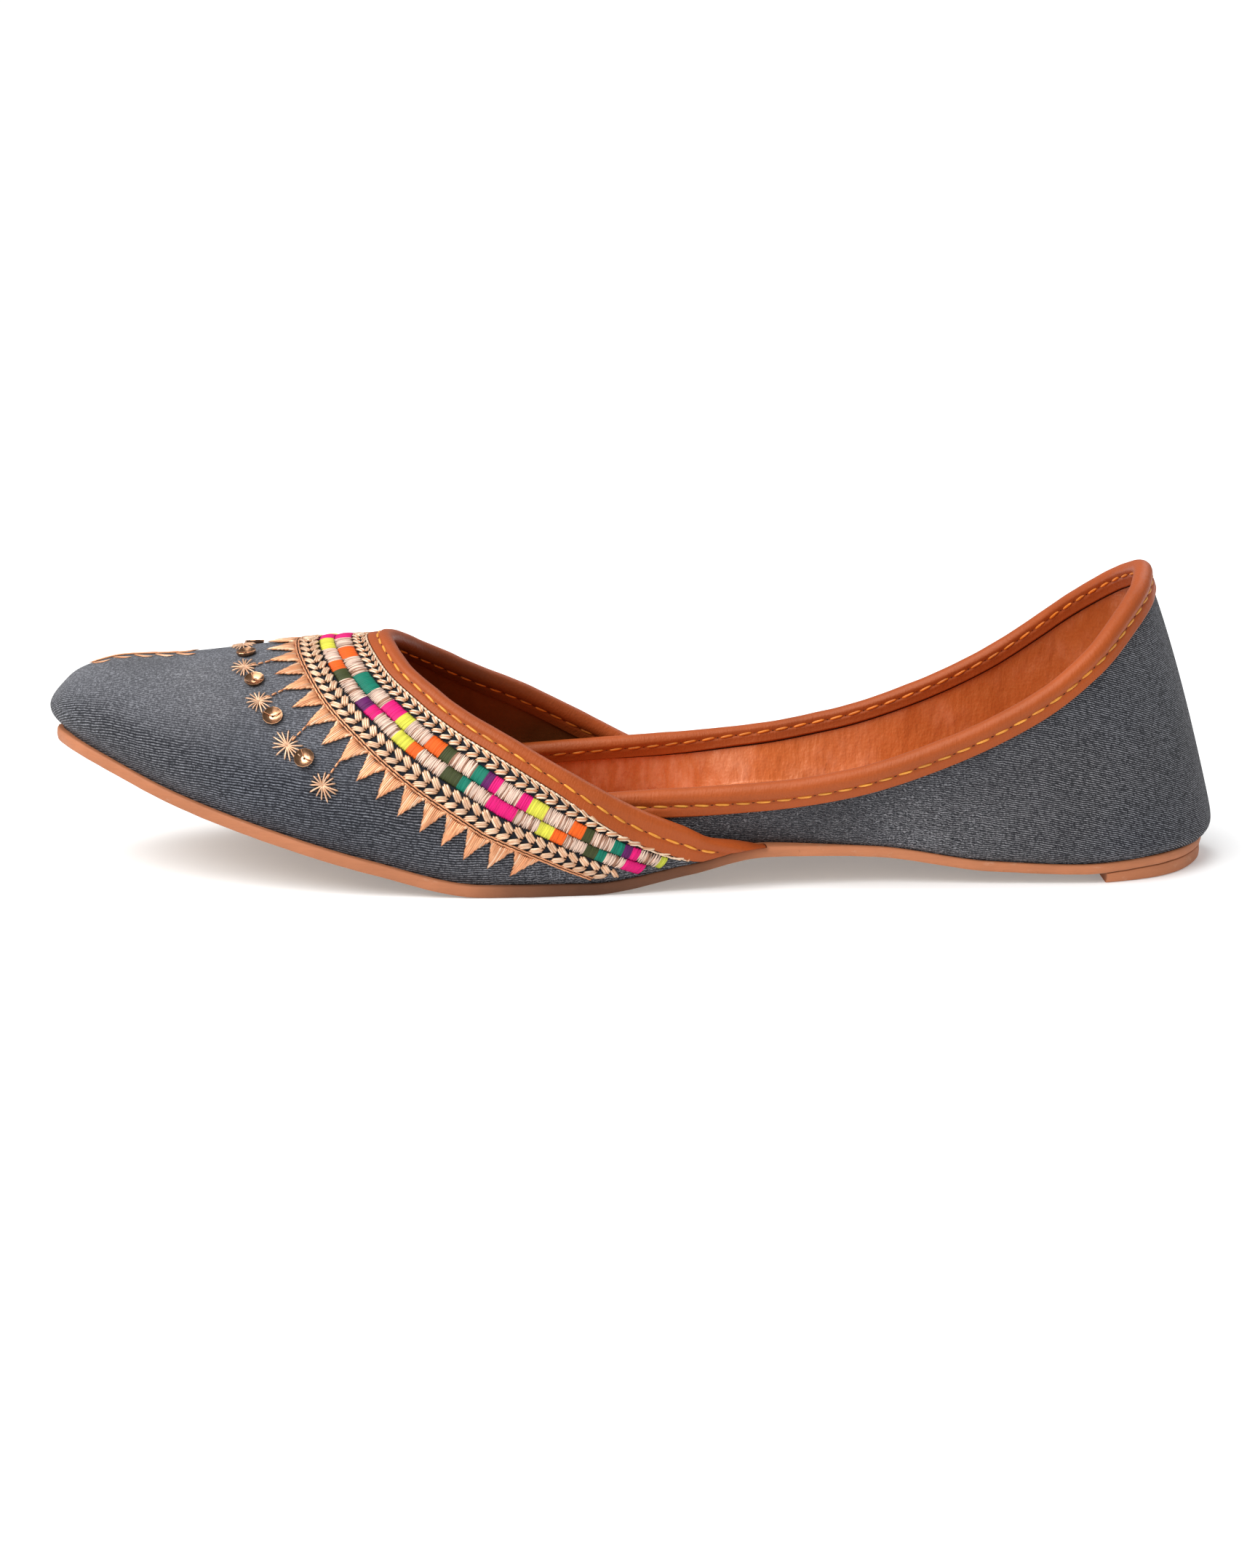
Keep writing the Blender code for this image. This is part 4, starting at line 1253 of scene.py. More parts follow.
# Face of a strap: dent of the stitches, thinning to the cut edge, swell of the roll
PINCH = 0.00034
PINCH_REACH = 0.00042
THINNING = 0.00018
ROLL_SWELL = 0.00028
ROLL_REACH = 0.0010
ROLL_START = 0.0003
ROLL_ANGLES = np.radians(np.linspace(12.0, 168.0, 13))
FACE_STEPS = np.linspace(0.0, 1.0, 15)
STRAP_CLOSE = 0.00004
STRAP_LIP = 0.00016


def strap_height(distance, flap, stitch, strap):
    """Height of a strap's face over the cloth.

    Full at the roll, with a bell-shaped dent along the stitch line, and
    thinner in proportion toward its cut edge.
    """
    pinch = PINCH * np.exp(-((distance - stitch) / PINCH_REACH) ** 2)
    taper = THINNING * np.clip(distance / flap, 0.0, 1.0)
    return strap + ROLL_SWELL * np.exp(-(distance / ROLL_REACH) ** 2) - pinch - taper


def down_wall(march, shares, distances):
    """Points and normals at distances that differ from share to share, read between even steps."""
    levels = np.arange(0.0, np.max(distances) + 2.0 * WALL_STEP, WALL_STEP)
    points, normals = march(shares, levels)
    low = np.clip((distances / WALL_STEP).astype(int), 0, len(levels) - 2)
    part = (distances / WALL_STEP - low)[..., None]
    row = np.arange(len(shares))[:, None]
    blend = [table[row, low] * (1.0 - part) + table[row, low + 1] * part for table in (points, normals)]
    return blend[0], unit(blend[1])


def stitch_line(flap):
    """Distance of the outside stitches below the edge, for the width of the flap."""
    return STITCH_OUTSIDE + STITCH_WITH_FLAP * (flap - FLAP)


def inside_stitch_line(march):
    """Distance of the inside stitches below the edge: less under the collar's roll than at the throat."""
    return STITCH_THROAT_INSIDE if march is march_vamp else STITCH_COLLAR_INSIDE


def strap_rings(march, shares, strap, seed, flap, inner, flat):
    """Cross sections of a folded strap.

    Each goes up the outside flap from its cut edge, round the roll on an arc,
    down the inside and back under. The width of the flap and the flatness of
    the roll are given for each share.
    """
    flap = flap[:, None]
    outside = flap - (flap - ROLL_START) * FACE_STEPS
    inside = ROLL_START + (inner - ROLL_START) * FACE_STEPS
    edge, edge_normal = [a[:, 0] for a in march(shares, [0.0])]
    below = march(shares, [MILLIMETRE])[0][:, 0]
    upward = unit(edge - below)
    middle = edge - edge_normal * WALL / 2.0
    out_points, out_normals = down_wall(march, shares, outside)
    in_points, in_normals = march(shares, inside)
    run = running_length(edge)[:, None] / MILLIMETRE
    swell = 1.0 + 0.03 * ripple(run, seed, 5.0)
    out_height = strap_height(outside, flap, stitch_line(flap), strap) * swell
    in_height = strap_height(inside, inner, inside_stitch_line(march), strap)[None, :] * swell
    face_out = out_points + out_normals * out_height[..., None]
    face_in = in_points - in_normals * (WALL + in_height)[..., None]
    skin = WALL / 2.0 + (strap + ROLL_SWELL) * swell
    rise = (flat[:, None] * np.sin(ROLL_ANGLES))[..., None]
    fold = edge_normal[:, None] * np.cos(ROLL_ANGLES)[:, None] + upward[:, None] * rise
    roll = middle[:, None] + fold * skin[..., None]
    under_in = in_points[:, ::-5] - in_normals[:, ::-5] * (WALL + STRAP_CLOSE)
    under_fold = middle[:, None] + fold[:, ::-4] * (WALL / 2.0 + STRAP_CLOSE)
    under_out = out_points[:, ::-5] + out_normals[:, ::-5] * STRAP_CLOSE
    lip_out = out_points[:, :1] + out_normals[:, :1] * out_height[:, :1, None] * 0.5
    lip_out = lip_out + unit(out_points[:, :1] - out_points[:, 1:2]) * STRAP_LIP
    lip_in = in_points[:, -1:] - in_normals[:, -1:] * (WALL + in_height[:, -1:, None] * 0.5)
    lip_in = lip_in + unit(in_points[:, -1:] - in_points[:, -2:-1]) * STRAP_LIP
    faces = [lip_out, face_out, roll, face_in, lip_in]
    rings = np.concatenate([*faces, under_in, under_fold, under_out], axis=1)
    rings[shares == 0.0, :, 1] = 0.0
    return rings


def throat_rings(sizes):
    """Cross sections of the throat strap, before its tail is brought down."""
    flap = flap_width(THROAT_SHARES)
    inner = sizes.flap_inside
    return strap_rings(march_vamp, THROAT_SHARES, sizes.strap, SEED + 2, flap, inner, THROAT_FLAT)


def tail_shift(rings):
    """Upward shift of each ring that brings the tail down in an even slope to the edge of the sole."""
    crest = np.argmax(rings[..., 2], axis=1)
    x = rings[np.arange(len(rings)), crest, 0]
    top = np.max(rings[..., 2], axis=1) - sole_over(x)
    slope = np.maximum(TAIL_SLOPE * (TAIL_END - x), 0.00005)
    shift = (slope - top) * ease(x, TAIL_FROM, (TAIL_FROM + TAIL_END) / 2.0)
    return shift[:, None] * np.array([0.0, 0.0, 1.0])


def closed_half(rings):
    """Half tube of rings and its mirror image, the far end drawn to the middle of its last ring.

    Coordinates over it are the run along and round it, in millimetres.
    """
    end = np.repeat(np.mean(rings[-1:], axis=1, keepdims=True), rings.shape[1], axis=1)
    rings = np.concatenate([rings, end])
    along = running_length(np.mean(rings, axis=1)) / MILLIMETRE
    around = running_length(rings[len(rings) // 2]) / MILLIMETRE
    uv = np.stack(np.meshgrid(along, around, indexing="ij"), axis=-1)
    return mirrored(rings, grid_quads(*rings.shape[:2], True), uv)


def lay_on_sole(points):
    """Points under the top of the sole brought up to it."""
    floor = sole_over(points[..., 0]) + SOLE_CLEAR
    points = points.copy()
    points[..., 2] = np.maximum(points[..., 2], floor)
    return points


def seam_shadow_strand(march, shares, inner):
    """Dark line of painted shadow below the inside of a strap, with its mirror image."""
    points, normals = [a[:, 0] for a in march(shares, [inner + 0.0002])]
    centres = (points - normals * (WALL + 0.00005))[None]
    thick = np.array([0.0005])
    profile = blunt(len(shares), 40.0)
    return mirror_strands(tubes(centres, normals[None], thick, thick, profile, STRAND_SIDES))


class JUTTI_OT_bindings(JuttiOperator):
    """Leather folded over the throat and over the collar."""

    bl_idname = "jutti.bindings"
    bl_label = "Bindings"

    def execute(self, context):
        sizes, colours = self.settings(context)
        material = leather_finish("binding_leather", colours.binding, 0.46, 1700.0, 0.15, 0.06, True)
        rings = throat_rings(sizes)
        shape = closed_half(lay_on_sole(rings + tail_shift(rings)[:, None]))
        strap = make_piece("throat_strap", shape, material, nodes=("throat_binding",))
        place, facing = mesh_points(strap)
        # painted shade on the strap's inside toward the toe, where it faces down or in
        inward = np.maximum(-facing[:, 2], -facing[:, 1] * np.sign(place[:, 1]))
        store(strap, "deep", np.clip(inward * 1.4, 0.0, 1.0) * within(-place[:, 0], 0.005, 0.030))
        even = np.ones_like(COLLAR_SHARES)
        flap = even * sizes.collar_outside
        inner = sizes.collar_inside
        rings = strap_rings(march_quarter, COLLAR_SHARES, sizes.strap, SEED + 3, flap, inner, even)
        make_piece("collar_strap", closed_half(rings), material, nodes=("collar_binding",))
        seam_shadows = (
            seam_shadow_strand(march_vamp, THROAT_SHARES[:150], sizes.flap_inside),
            seam_shadow_strand(march_quarter, COLLAR_SHARES[:200], inner),
        )
        shape = joined([strand_mesh(seam) for seam in seam_shadows])._replace(uv=None)
        make_piece("inside_seams", shape, dark_finish("seam_shadow", (0.035, 0.012, 0.005)))
        return {"FINISHED"}


STRAND_SIDES = 6
ROUND_SIDES = 8


def tubes(centres, normals, widths, heights, profile, sides):
    """Strands along rows of centres: cross sections are ellipses lying on the cloth, scaled by the profile.

    Gives points of shape strands, stations, sides.
    """
    tangent = unit(np.gradient(centres, axis=1))
    side = unit(np.cross(normals, tangent))
    angles = np.linspace(0.0, 2.0 * np.pi, sides, endpoint=False)
    across = np.cos(angles) * (widths / 2.0)[:, None, None] * profile[None, :, None]
    upright = np.sin(angles) * (heights / 2.0)[:, None, None] * profile[None, :, None]
    flat = side[:, :, None] * across[..., None]
    return centres[:, :, None] + flat + normals[:, :, None] * upright[..., None]


def strand_mesh(points):
    """Shape of many strands, with coordinates along and round each, shifted by chance."""
    count, stations, sides = points.shape[:3]
    quads = grid_quads(stations, sides, True)
    offsets = np.arange(count)[:, None, None] * stations * sides
    along = np.linspace(0.0, 1.0, stations)[None, :, None]
    around = np.linspace(0.0, 1.0, sides)[None, None, :]
    shift = np.random.default_rng(SEED).uniform(0.0, 40.0, count)[:, None, None]
    uv = together(along + shift, around + shift)
    return Shape(points.reshape(-1, 3), (quads[None] + offsets).reshape(-1, 4), uv.reshape(-1, 2))


def blunt(stations, fullness):
    """Profile of a strand: full along its length, closed round at both ends."""
    t = np.linspace(-1.0, 1.0, stations)
    return np.maximum(1.0 - np.abs(t) ** fullness, 0.0) ** 0.5


def leaf(stations):
    """Profile of a satin leaf: nearly full along its length, drawn in at both ends."""
    t = np.linspace(-1.0, 1.0, stations)
    return np.maximum(1.0 - np.abs(t) ** 4.4, 0.0) ** 0.62


# Machine stitches and their holes as shares of the pitch or the thread; pairs
# are for outside and inside
THROAT_PITCH = 0.94
STITCH_RISE = 0.26
STITCH_DIP = 0.62
STITCH_SLANT = 0.00012
STITCH_WIDTHS = (1.08, 1.2)
HOLE_RADII = (0.26, 0.18)
HOLE_LENGTH = 2.6
HOLE_LEVELS = ((0.0, -0.9), (1.0, -0.5), (0.85, 0.10), (0.0, 0.20))


def stitch_row(march, shares, distance, height, shift, sizes, inside, last):
    """Machine stitches along a strap, shifted with it, and places, normals and headings of their holes.

    Each stitch is level in the middle and dips into the leather by a fifth
    power toward its two ends.
    """
    points, normals = [a[:, 0] for a in down_wall(march, shares, distance[:, None])]
    if inside:
        points = points - normals * WALL
        normals = -normals
    points = points + normals * height[:, None] + shift
    run = running_length(points)
    pitch = sizes.stitch_pitch * (THROAT_PITCH if march is march_vamp else 1.0)
    starts = np.arange(pitch * 0.14, run[-1] * last - sizes.stitch, pitch)
    t = np.linspace(0.0, 1.0, 11)
    places = starts[:, None] + sizes.stitch * t[None, :]
    centres = np.stack([np.interp(places, run, points[:, k]) for k in range(3)], axis=-1)
    upward = unit(np.stack([np.interp(places, run, normals[:, k]) for k in range(3)], axis=-1))
    rise = sizes.stitch_thread * (STITCH_RISE - STITCH_DIP * np.abs(2.0 * t - 1.0) ** 5)
    heading = np.gradient(centres, axis=1)
    slant = unit(np.cross(upward, heading)) * (STITCH_SLANT * (2.0 * t - 1.0))[None, :, None]
    gap = pitch - sizes.stitch
    holes = centres[:, -1] + unit(heading[:, -1]) * gap / 2.0
    centres = centres + upward * rise[None, :, None] + slant
    kept = np.min(over_sole(centres), axis=1) > STITCH_CLEAR
    width = sizes.stitch_thread * STITCH_WIDTHS[inside]
    thick = np.full(np.sum(kept), width)
    profile = blunt(len(t), 2.6)
    body = tubes(centres[kept], upward[kept], thick, thick * 0.75, profile, ROUND_SIDES)
    return body, holes[kept], upward[kept, -1], unit(heading[kept, -1])


def mirror_strands(strands):
    """Strands with their mirror images, kept facing out."""
    return np.concatenate([strands, (strands * MIRROR)[:, :, ::-1]])


class JUTTI_OT_stitching(JuttiOperator):
    """Machine stitches along both bindings, outside and inside, with their needle holes."""

    bl_idname = "jutti.stitching"
    bl_label = "Stitching"

    def execute(self, context):
        sizes, colours = self.settings(context)
        material = thread_finish("stitch_thread", 0.0, 0.45, 5.0, GOLD_SHADOW, 0.4)
        # needle holes: dark slits as painted shade where the thread dips into the leather
        hole = dark_finish("needle_hole", (0.055, 0.018, 0.008))
        throat, collar = THROAT_SHARES, COLLAR_SHARES
        rows = (
            ("throat_stitches", march_vamp, throat, flap_width(throat), False, 0.98),
            ("throat_stitches_inside", march_vamp, throat, sizes.flap_inside, True, 0.88),
            ("collar_stitches", march_quarter, collar, sizes.collar_outside, False, 0.97),
            ("collar_stitches_inside", march_quarter, collar, sizes.collar_inside, True, 0.97),
        )
        holes = []
        for name, march, shares, flap, inside, last in rows:
            flap = np.broadcast_to(flap, shares.shape)
            colour = colours.stitching_inside if inside else colours.stitching
            distance = np.full_like(shares, inside_stitch_line(march)) if inside else stitch_line(flap)
            height = strap_height(distance, flap, distance, sizes.strap)
            shift = tail_shift(throat_rings(sizes)) if march is march_vamp else 0.0
            body, places, normals, headings = stitch_row(
                march, shares, distance, height, shift, sizes, inside, last)
            strands = mirror_strands(body)
            shape = strand_mesh(strands)
            vary = np.random.default_rng(SEED + len(shape.points)).uniform(0.82, 1.12, len(strands))
            tint = np.clip(vary[:, None] * np.array(colour), 0.0, 1.0)
            tint = np.repeat(tint, strands.shape[1] * strands.shape[2], axis=0)
            make_piece(name, shape, material, tint)
            radius = sizes.stitch_thread * HOLE_RADII[inside]
            holes.append(mirror_strands(needle_holes(places, normals, headings, radius)))
        shape = strand_mesh(np.concatenate(holes))._replace(uv=None)
        make_piece("needle_holes", shape, hole)
        return {"FINISHED"}


def needle_holes(places, normals, headings, radius):
    """Dark slits of painted shade where the thread enters the leather, drawn out along the stitches."""
    angles = np.linspace(0.0, 2.0 * np.pi, 10, endpoint=False)
    sideways = np.cross(normals, headings)
    along = HOLE_LENGTH * headings[:, None] * np.cos(angles)[:, None]
    oval = along + sideways[:, None] * np.sin(angles)[:, None]
    centre = (places + normals * 0.00004)[:, None]
    upward = normals[:, None]
    return np.stack([centre + oval * radius * r + upward * radius * h for r, h in HOLE_LEVELS], axis=1)


# Thread work on the vamp


# Least height of a strand over the sole
STRAND_CLEAR = 0.0006

# Painted shade toward the ends of a strand: depth at its ends, share of it on red,
# green and blue, share of it at the start
WARM_END_SHADE = np.array([0.55, 0.82, 1.0])
EVEN_FADE = np.array([1.0, 1.0, 1.0])
Fade = namedtuple("Fade", "ends hue lead", defaults=(WARM_END_SHADE, 1.0))


def strand_tint(colours, body, rng, fade):
    """Colour of each strand with chance variation, and painted shade that deepens by a power of the way to
    its ends.
    """
    vary = rng.uniform(0.84, 1.14, (len(colours), 1))
    t = np.linspace(0.0, 1.0, body.shape[1])
    depth = fade.ends * np.abs(2.0 * t - 1.0) ** 2.4 * np.where(t < 0.5, fade.lead, 1.0)
    tint = (colours * vary)[:, None, None, :] * (1.0 - depth[None, :, None, None] * fade.hue)
    return np.clip(np.broadcast_to(tint, (*body.shape[:3], 3)), 0.0, 1.0)


def lay_strands(start, end, width, thick, lift, arch, profile, colours, rng, fade, narrow=True):
    """Strands between pairs of run and distance, and their colours.

    They lie on the cloth at a lift, arched over it in a parabola. From the
    first that meets the sole on toward the wing they are left out.
    """
    width, thick, lift = [np.broadcast_to(value, len(start)) for value in (width, thick, lift)]
    t = np.linspace(0.0, 1.0, len(profile))
    run = start[:, :1] + (end - start)[:, :1] * t
    distance = start[:, 1:] + (end - start)[:, 1:] * t
    points, normals = on_vamp(run, distance, narrow)
    rise = lift[:, None] + arch * 4.0 * t * (1.0 - t)
    centres = points + normals * rise[..., None]
    low = np.min(over_sole(points), axis=1) < STRAND_CLEAR
    kept = np.abs(start[:, 0]) < np.min(np.abs(start[low, 0]), initial=np.inf)
    body = tubes(centres[kept], normals[kept], width[kept], thick[kept], profile, STRAND_SIDES)
    colours = np.broadcast_to(colours, (len(start), 3))[kept]
    return body, strand_tint(colours, body, rng, fade)


def sign_pairs(values):
    """Signed copies of runs: both sides of the ridge."""
    return np.concatenate([values, values * np.array([-1.0, 1.0])])


def add_strands(name, material, groups):
    """One piece from groups of strands, each with its colours."""
    shape = joined([strand_mesh(strands) for strands, _ in groups])
    tint = np.concatenate([colours.reshape(-1, 3) for _, colours in groups])
    make_piece(name, shape, material, tint)


# Herringbone leaves in millimetres, their lean as a share of the pitch, their
# widths as shares of the band
LEAF_PITCH = 2.45
LEAF_LEAN = 1.12
LEAF_PLUMP = 0.34
LEAF_SLIM = 0.27
LEAF_TRIM = 0.10
LEAF_LIFT = 0.00050
LEAF_ARCH = 0.00014

# Satin diamond at the ridge, in millimetres
EYE_PITCH = 0.36
EYE_REACH = 2.9


def herringbone(band, plump_edge, middle, rng, side, heart):
    """Two rows of satin leaves that lean together toward the wing; the row on one edge is the plumper.

    Each leaf is three strands side by side, the middle one longest and with a
    colour of its own. A satin diamond fills the gap where the rows part at the
    ridge, its strands shorter from the ridge outward.
    """
    low, high = band
    runs = np.arange(0.2 * LEAF_PITCH, CHART_RUN[-1] - LEAF_PITCH, LEAF_PITCH)
    starts, ends, widths, tints = [], [], [], []
    for edge in (low, high):
        width = (high - low) * (LEAF_PLUMP if edge == plump_edge else LEAF_SLIM)
        tip = middle + 0.12 * np.sign(edge - middle)
        lean = np.array([LEAF_LEAN * LEAF_PITCH, tip - edge])
        square = np.array([-lean[1], lean[0]]) / np.hypot(*lean)
        jitter = rng.uniform(-0.10, 0.10, (len(runs), 2))
        foot = together(runs, edge)
        for place, trim in ((-1.0, LEAF_TRIM), (0.0, 0.0), (1.0, LEAF_TRIM)):
            shift = square * place * width / 3.0 + jitter
            starts.append(foot + lean * trim + shift)
            ends.append(foot + lean * (1.0 - trim) + shift)
            widths.append(np.full(len(runs), width * 0.48 * MILLIMETRE))
            tints.append(np.tile(side if place else heart, (len(runs), 1)))
    eye = np.arange(EYE_PITCH / 2.0, EYE_REACH * 0.85, EYE_PITCH)
    spread = 0.86 * (1.0 - eye / EYE_REACH)
    starts.append(together(eye, middle + (low - middle) * spread))
    ends.append(together(eye, middle + (high - middle) * spread))
    widths.append(np.full(len(eye), 1.2 * EYE_PITCH * MILLIMETRE))
    tints.append(np.tile(side, (len(eye), 1)))
    start = sign_pairs(np.concatenate(starts))
    end = sign_pairs(np.concatenate(ends))
    width = np.tile(np.concatenate(widths), 2)
    lift = LEAF_LIFT + rng.uniform(-0.00004, 0.00006, len(start))
    share = np.interp(np.abs(start[:, 0]), CHART_RUN, CHART_SHARES)
    centre = drawn_in(share, (start[:, 1] + end[:, 1]) / 2.0)
    shown = centre > flap_width(share) / MILLIMETRE + 0.1
    tint = np.tile(np.concatenate(tints), (2, 1))[shown]
    width = width[shown]
    return lay_strands(
        start[shown], end[shown], width, width, lift[shown], LEAF_ARCH, leaf(9),
        tint, rng, Fade(0.55, lead=0.35))


# Satin blocks: pitch as a share of the thread, gold closer and partly darkened as painted shade
BLOCK_PITCH = 0.72
GOLD_CROWDING = 1.25
GOLD_PAINTED_SHADE = np.array([0.46, 0.32, 0.25])
BLOCK_LIFT = 0.00042
BLOCK_ARCH = 0.00038


def block_strands(rows, band, colours, sizes, rng):
    """Satin blocks: parallel strands across the band, block after block from the ridge to the wing."""
    pitch = sizes.satin_thread / MILLIMETRE * BLOCK_PITCH
    runs, tints, loose = [], [], []
    start = 0.0
    for name, length in rows:
        gold = name == "gold"
        count = max(int(round(length / pitch * (GOLD_CROWDING if gold else 1.0))), 2)
        block = np.tile(np.array(getattr(colours, name)), (count, 1))
        if name == "purple":
            block[count // 2:] = np.array(colours.magenta)
        if gold:
            block = np.array(colours.rose) * rng.uniform(0.62, 1.12, (count, 1))
            # painted shade: about a quarter of the gold strands are darkened
            dark = rng.uniform(0.0, 1.0, (count, 1)) < 0.24
            block = np.where(dark, block * GOLD_PAINTED_SHADE, block)
        runs.append(start + (np.arange(count) + 0.5) * length / count)
        tints.append(block)
        loose.append(np.full(count, 1.0 if gold else 0.25))
        start += length
    runs = np.concatenate(runs)
    loose = np.concatenate(loose)
    low, high = band
    ragged = rng.uniform(-0.24, 0.24, (len(runs), 2)) * loose[:, None]
    turns = np.where(np.arange(len(runs)) % 2, 1.0, -1.0)
    slant = rng.uniform(0.04, 0.22, len(runs)) * loose * turns
    start = sign_pairs(together(runs - slant, low + ragged[:, 0]))
    end = sign_pairs(together(runs + slant, high + ragged[:, 1]))
    fullness = np.tile(1.06 - 0.30 * loose, 2)
    width = sizes.satin_thread * rng.uniform(1.25, 1.50, len(start)) * fullness
    lift = BLOCK_LIFT + rng.uniform(0.0, 0.00007, len(start))
    return lay_strands(
        start, end, width, width * 0.60, lift, BLOCK_ARCH, blunt(9, 8.0),
        np.concatenate(tints + tints), rng, Fade(0.30, EVEN_FADE))


# Cords: lift and arch
CORD_LIE = (0.00040, 0.00010)


def cord_strands(distance, pitch, rng, colour, width, lean, last):
    """A line of short leaning stitches, each starting beside the last.

    The chain at the edge follows the width of the strap, a cord keeps to its
    distance.
    """
    runs = np.arange(0.0, np.interp(last, CHART_SHARES, CHART_RUN), pitch)
    level = distance
    edge = distance == EDGE_CHAIN
    if edge:
        flap = flap_width(np.interp(runs, CHART_RUN, CHART_SHARES))
        level = flap / MILLIMETRE + EDGE_CHAIN - FLAP / MILLIMETRE
    start = sign_pairs(together(runs, level - lean))
    end = sign_pairs(together(runs + pitch * 1.45, level + lean))
    return lay_strands(
        start, end, width, width, *CORD_LIE, blunt(7, 4.0), colour, rng, Fade(0.35), not edge)


# Points of the border: strands to a side, height over the sole, size of a strand
POINT_SIDE = 6
POINT_CLEAR = 0.0012
POINT_STRAND = 0.00056
POINT_ARCH = 0.00010


def point_strands(colours, rng):
    """Border points: parallel strands from the cord toward the toe, longest in the middle of each point."""
    spread = np.arange(-POINT_SIDE, POINT_SIDE + 1) / 6.4
    tips = np.arange(-POINT_COUNT, POINT_COUNT + 1)
    tip, across = [g.ravel() for g in np.meshgrid(tips, spread, indexing="ij")]
    side = np.sign(tip + 0.50 * across)
    base_run = side * tip_to_run(np.abs(tip + 0.50 * across))
    end_run = side * tip_to_run(np.abs(tip + 0.40 * across))
    inner = 1.0 - np.abs(across)
    ragged = rng.uniform(-0.30, 0.30, len(tip)) * (np.abs(across) > 0.05)
    reach = (POINT_TIP - POINT_BASE) * inner + 0.55 + ragged
    start = together(base_run, POINT_BASE - 0.1)
    end = together(end_run, POINT_BASE + reach)
    head = on_vamp(tip_to_run(np.abs(tip)), np.full_like(tip, POINT_TIP, dtype=float))[0]
    clear = over_sole(head) > POINT_CLEAR
    inner, start, end = inner[clear], start[clear], end[clear]
    count = len(start)
    width = POINT_STRAND * rng.uniform(0.92, 1.25, count)
    lift = 0.00028 + 0.00012 * inner + rng.uniform(0.0, 0.00008, count)
    copper = (0.86 + 0.22 * inner)[:, None] * np.array(colours.copper_thread)
    golden = rng.uniform(0.0, 1.0, (count, 1)) < 0.25
    tint = np.where(golden, np.array(colours.gold), copper)
    return lay_strands(
        start, end, width, width * 0.9, lift, POINT_ARCH, blunt(9, 5.0), tint, rng, Fade(0.22))


def shade_sheet_rings():
    """Cross sections of the dark sheet under the border, painted shade between the stitches.

    It is as wide as the bands that clear the sole, evened out along the run
    by a moving mean, and thins toward both rims.
    """
    runs = np.linspace(0.0, SHADE_SHEET_END, 300)
    outer = np.full_like(runs, HERRINGBONE_IN[1])
    for edge in (BLOCKS_IN[1], BLOCKS_OUT[1], CORDS[1]):
        clear = over_sole(on_vamp(runs, np.full_like(runs, edge))[0]) > SHADE_SHEET_CLEAR
        outer = np.where(np.cumprod(clear) > 0, edge, outer)
    outer = np.convolve(np.pad(outer, 3, "edge"), np.full(7, 1.0 / 7.0), "valid")[:, None]
    spread = np.linspace(0.0, 1.0, SHADE_SHEET_COLUMNS)
    distance = SHADE_SHEET_START + (outer - SHADE_SHEET_START) * spread
    points, normals = on_vamp(np.repeat(runs[:, None], SHADE_SHEET_COLUMNS, axis=1), distance)
    rim = within(np.minimum(distance - SHADE_SHEET_START, outer - distance), 0.0, 0.6)
    over = points + normals * (0.00008 + 0.00022 * rim)[..., None]
    under = points + normals * 0.00002
    rings = lay_on_sole(np.concatenate([over, under[:, ::-3]], axis=1))
    rings[0, :, 1] = 0.0
    return rings


class JUTTI_OT_border(JuttiOperator):
    """Border of thread along the throat: a dark sheet of painted shade, herringbones, satin blocks, cords
    and points.
    """

    bl_idname = "jutti.border"
    bl_label = "Border"

    def execute(self, context):
        sizes, colours = self.settings(context)
        rng = np.random.default_rng(SEED)
        gold = thread_finish("gold_thread", 0.35, 0.34, 7.0, GOLD_SHADOW, 0.6)
        silk = thread_finish("silk_thread", 0.0, 0.50, 4.0, SILK_SHADOW, 0.22, 0.18)
        dark = dark_finish("border_ground", (0.016, 0.018, 0.024))
        shape = closed_half(shade_sheet_rings())._replace(uv=None)
        make_piece("border_ground", shape, dark, nodes=("embroidered_border",))
        threads = (colours.copper_thread, colours.cream, colours.gold)
        copper, cream, rose_gold = [np.array(thread) for thread in threads]
        pale = (rose_gold + cream) / 2.0
        bones = [
            herringbone(HERRINGBONE_IN, HERRINGBONE_IN[1], MIDDLE_IN, rng, cream, copper * 0.85),
            herringbone(HERRINGBONE_OUT, HERRINGBONE_OUT[0], MIDDLE_OUT, rng, pale, rose_gold),
            cord_strands(EDGE_CHAIN, 1.25, rng, cream, 0.00050, 0.10, 0.86),
        ]
        add_strands("border_herringbone", gold, bones)
        rows = ((ROW_IN, BLOCKS_IN), (ROW_OUT, BLOCKS_OUT))
        blocks = [block_strands(row, band, colours, sizes, rng) for row, band in rows]
        add_strands("border_blocks", silk, blocks)
        cords = [cord_strands(d, 1.55, rng, copper, 0.00042, 0.07, 0.74) for d in CORDS]
        add_strands("border_cords", gold, cords)
        add_strands("border_points", gold, [point_strands(colours, rng)])
        return {"FINISHED"}


# Stars and the run stitches to them: width, thickness, lift and arch of their thread
STAR_RAYS = 15
STAR_THREAD = (0.00036, 0.00036, 0.00028, 0.00016)
RUN_THREAD = (0.00044, 0.00044, 0.00024, 0.0001)


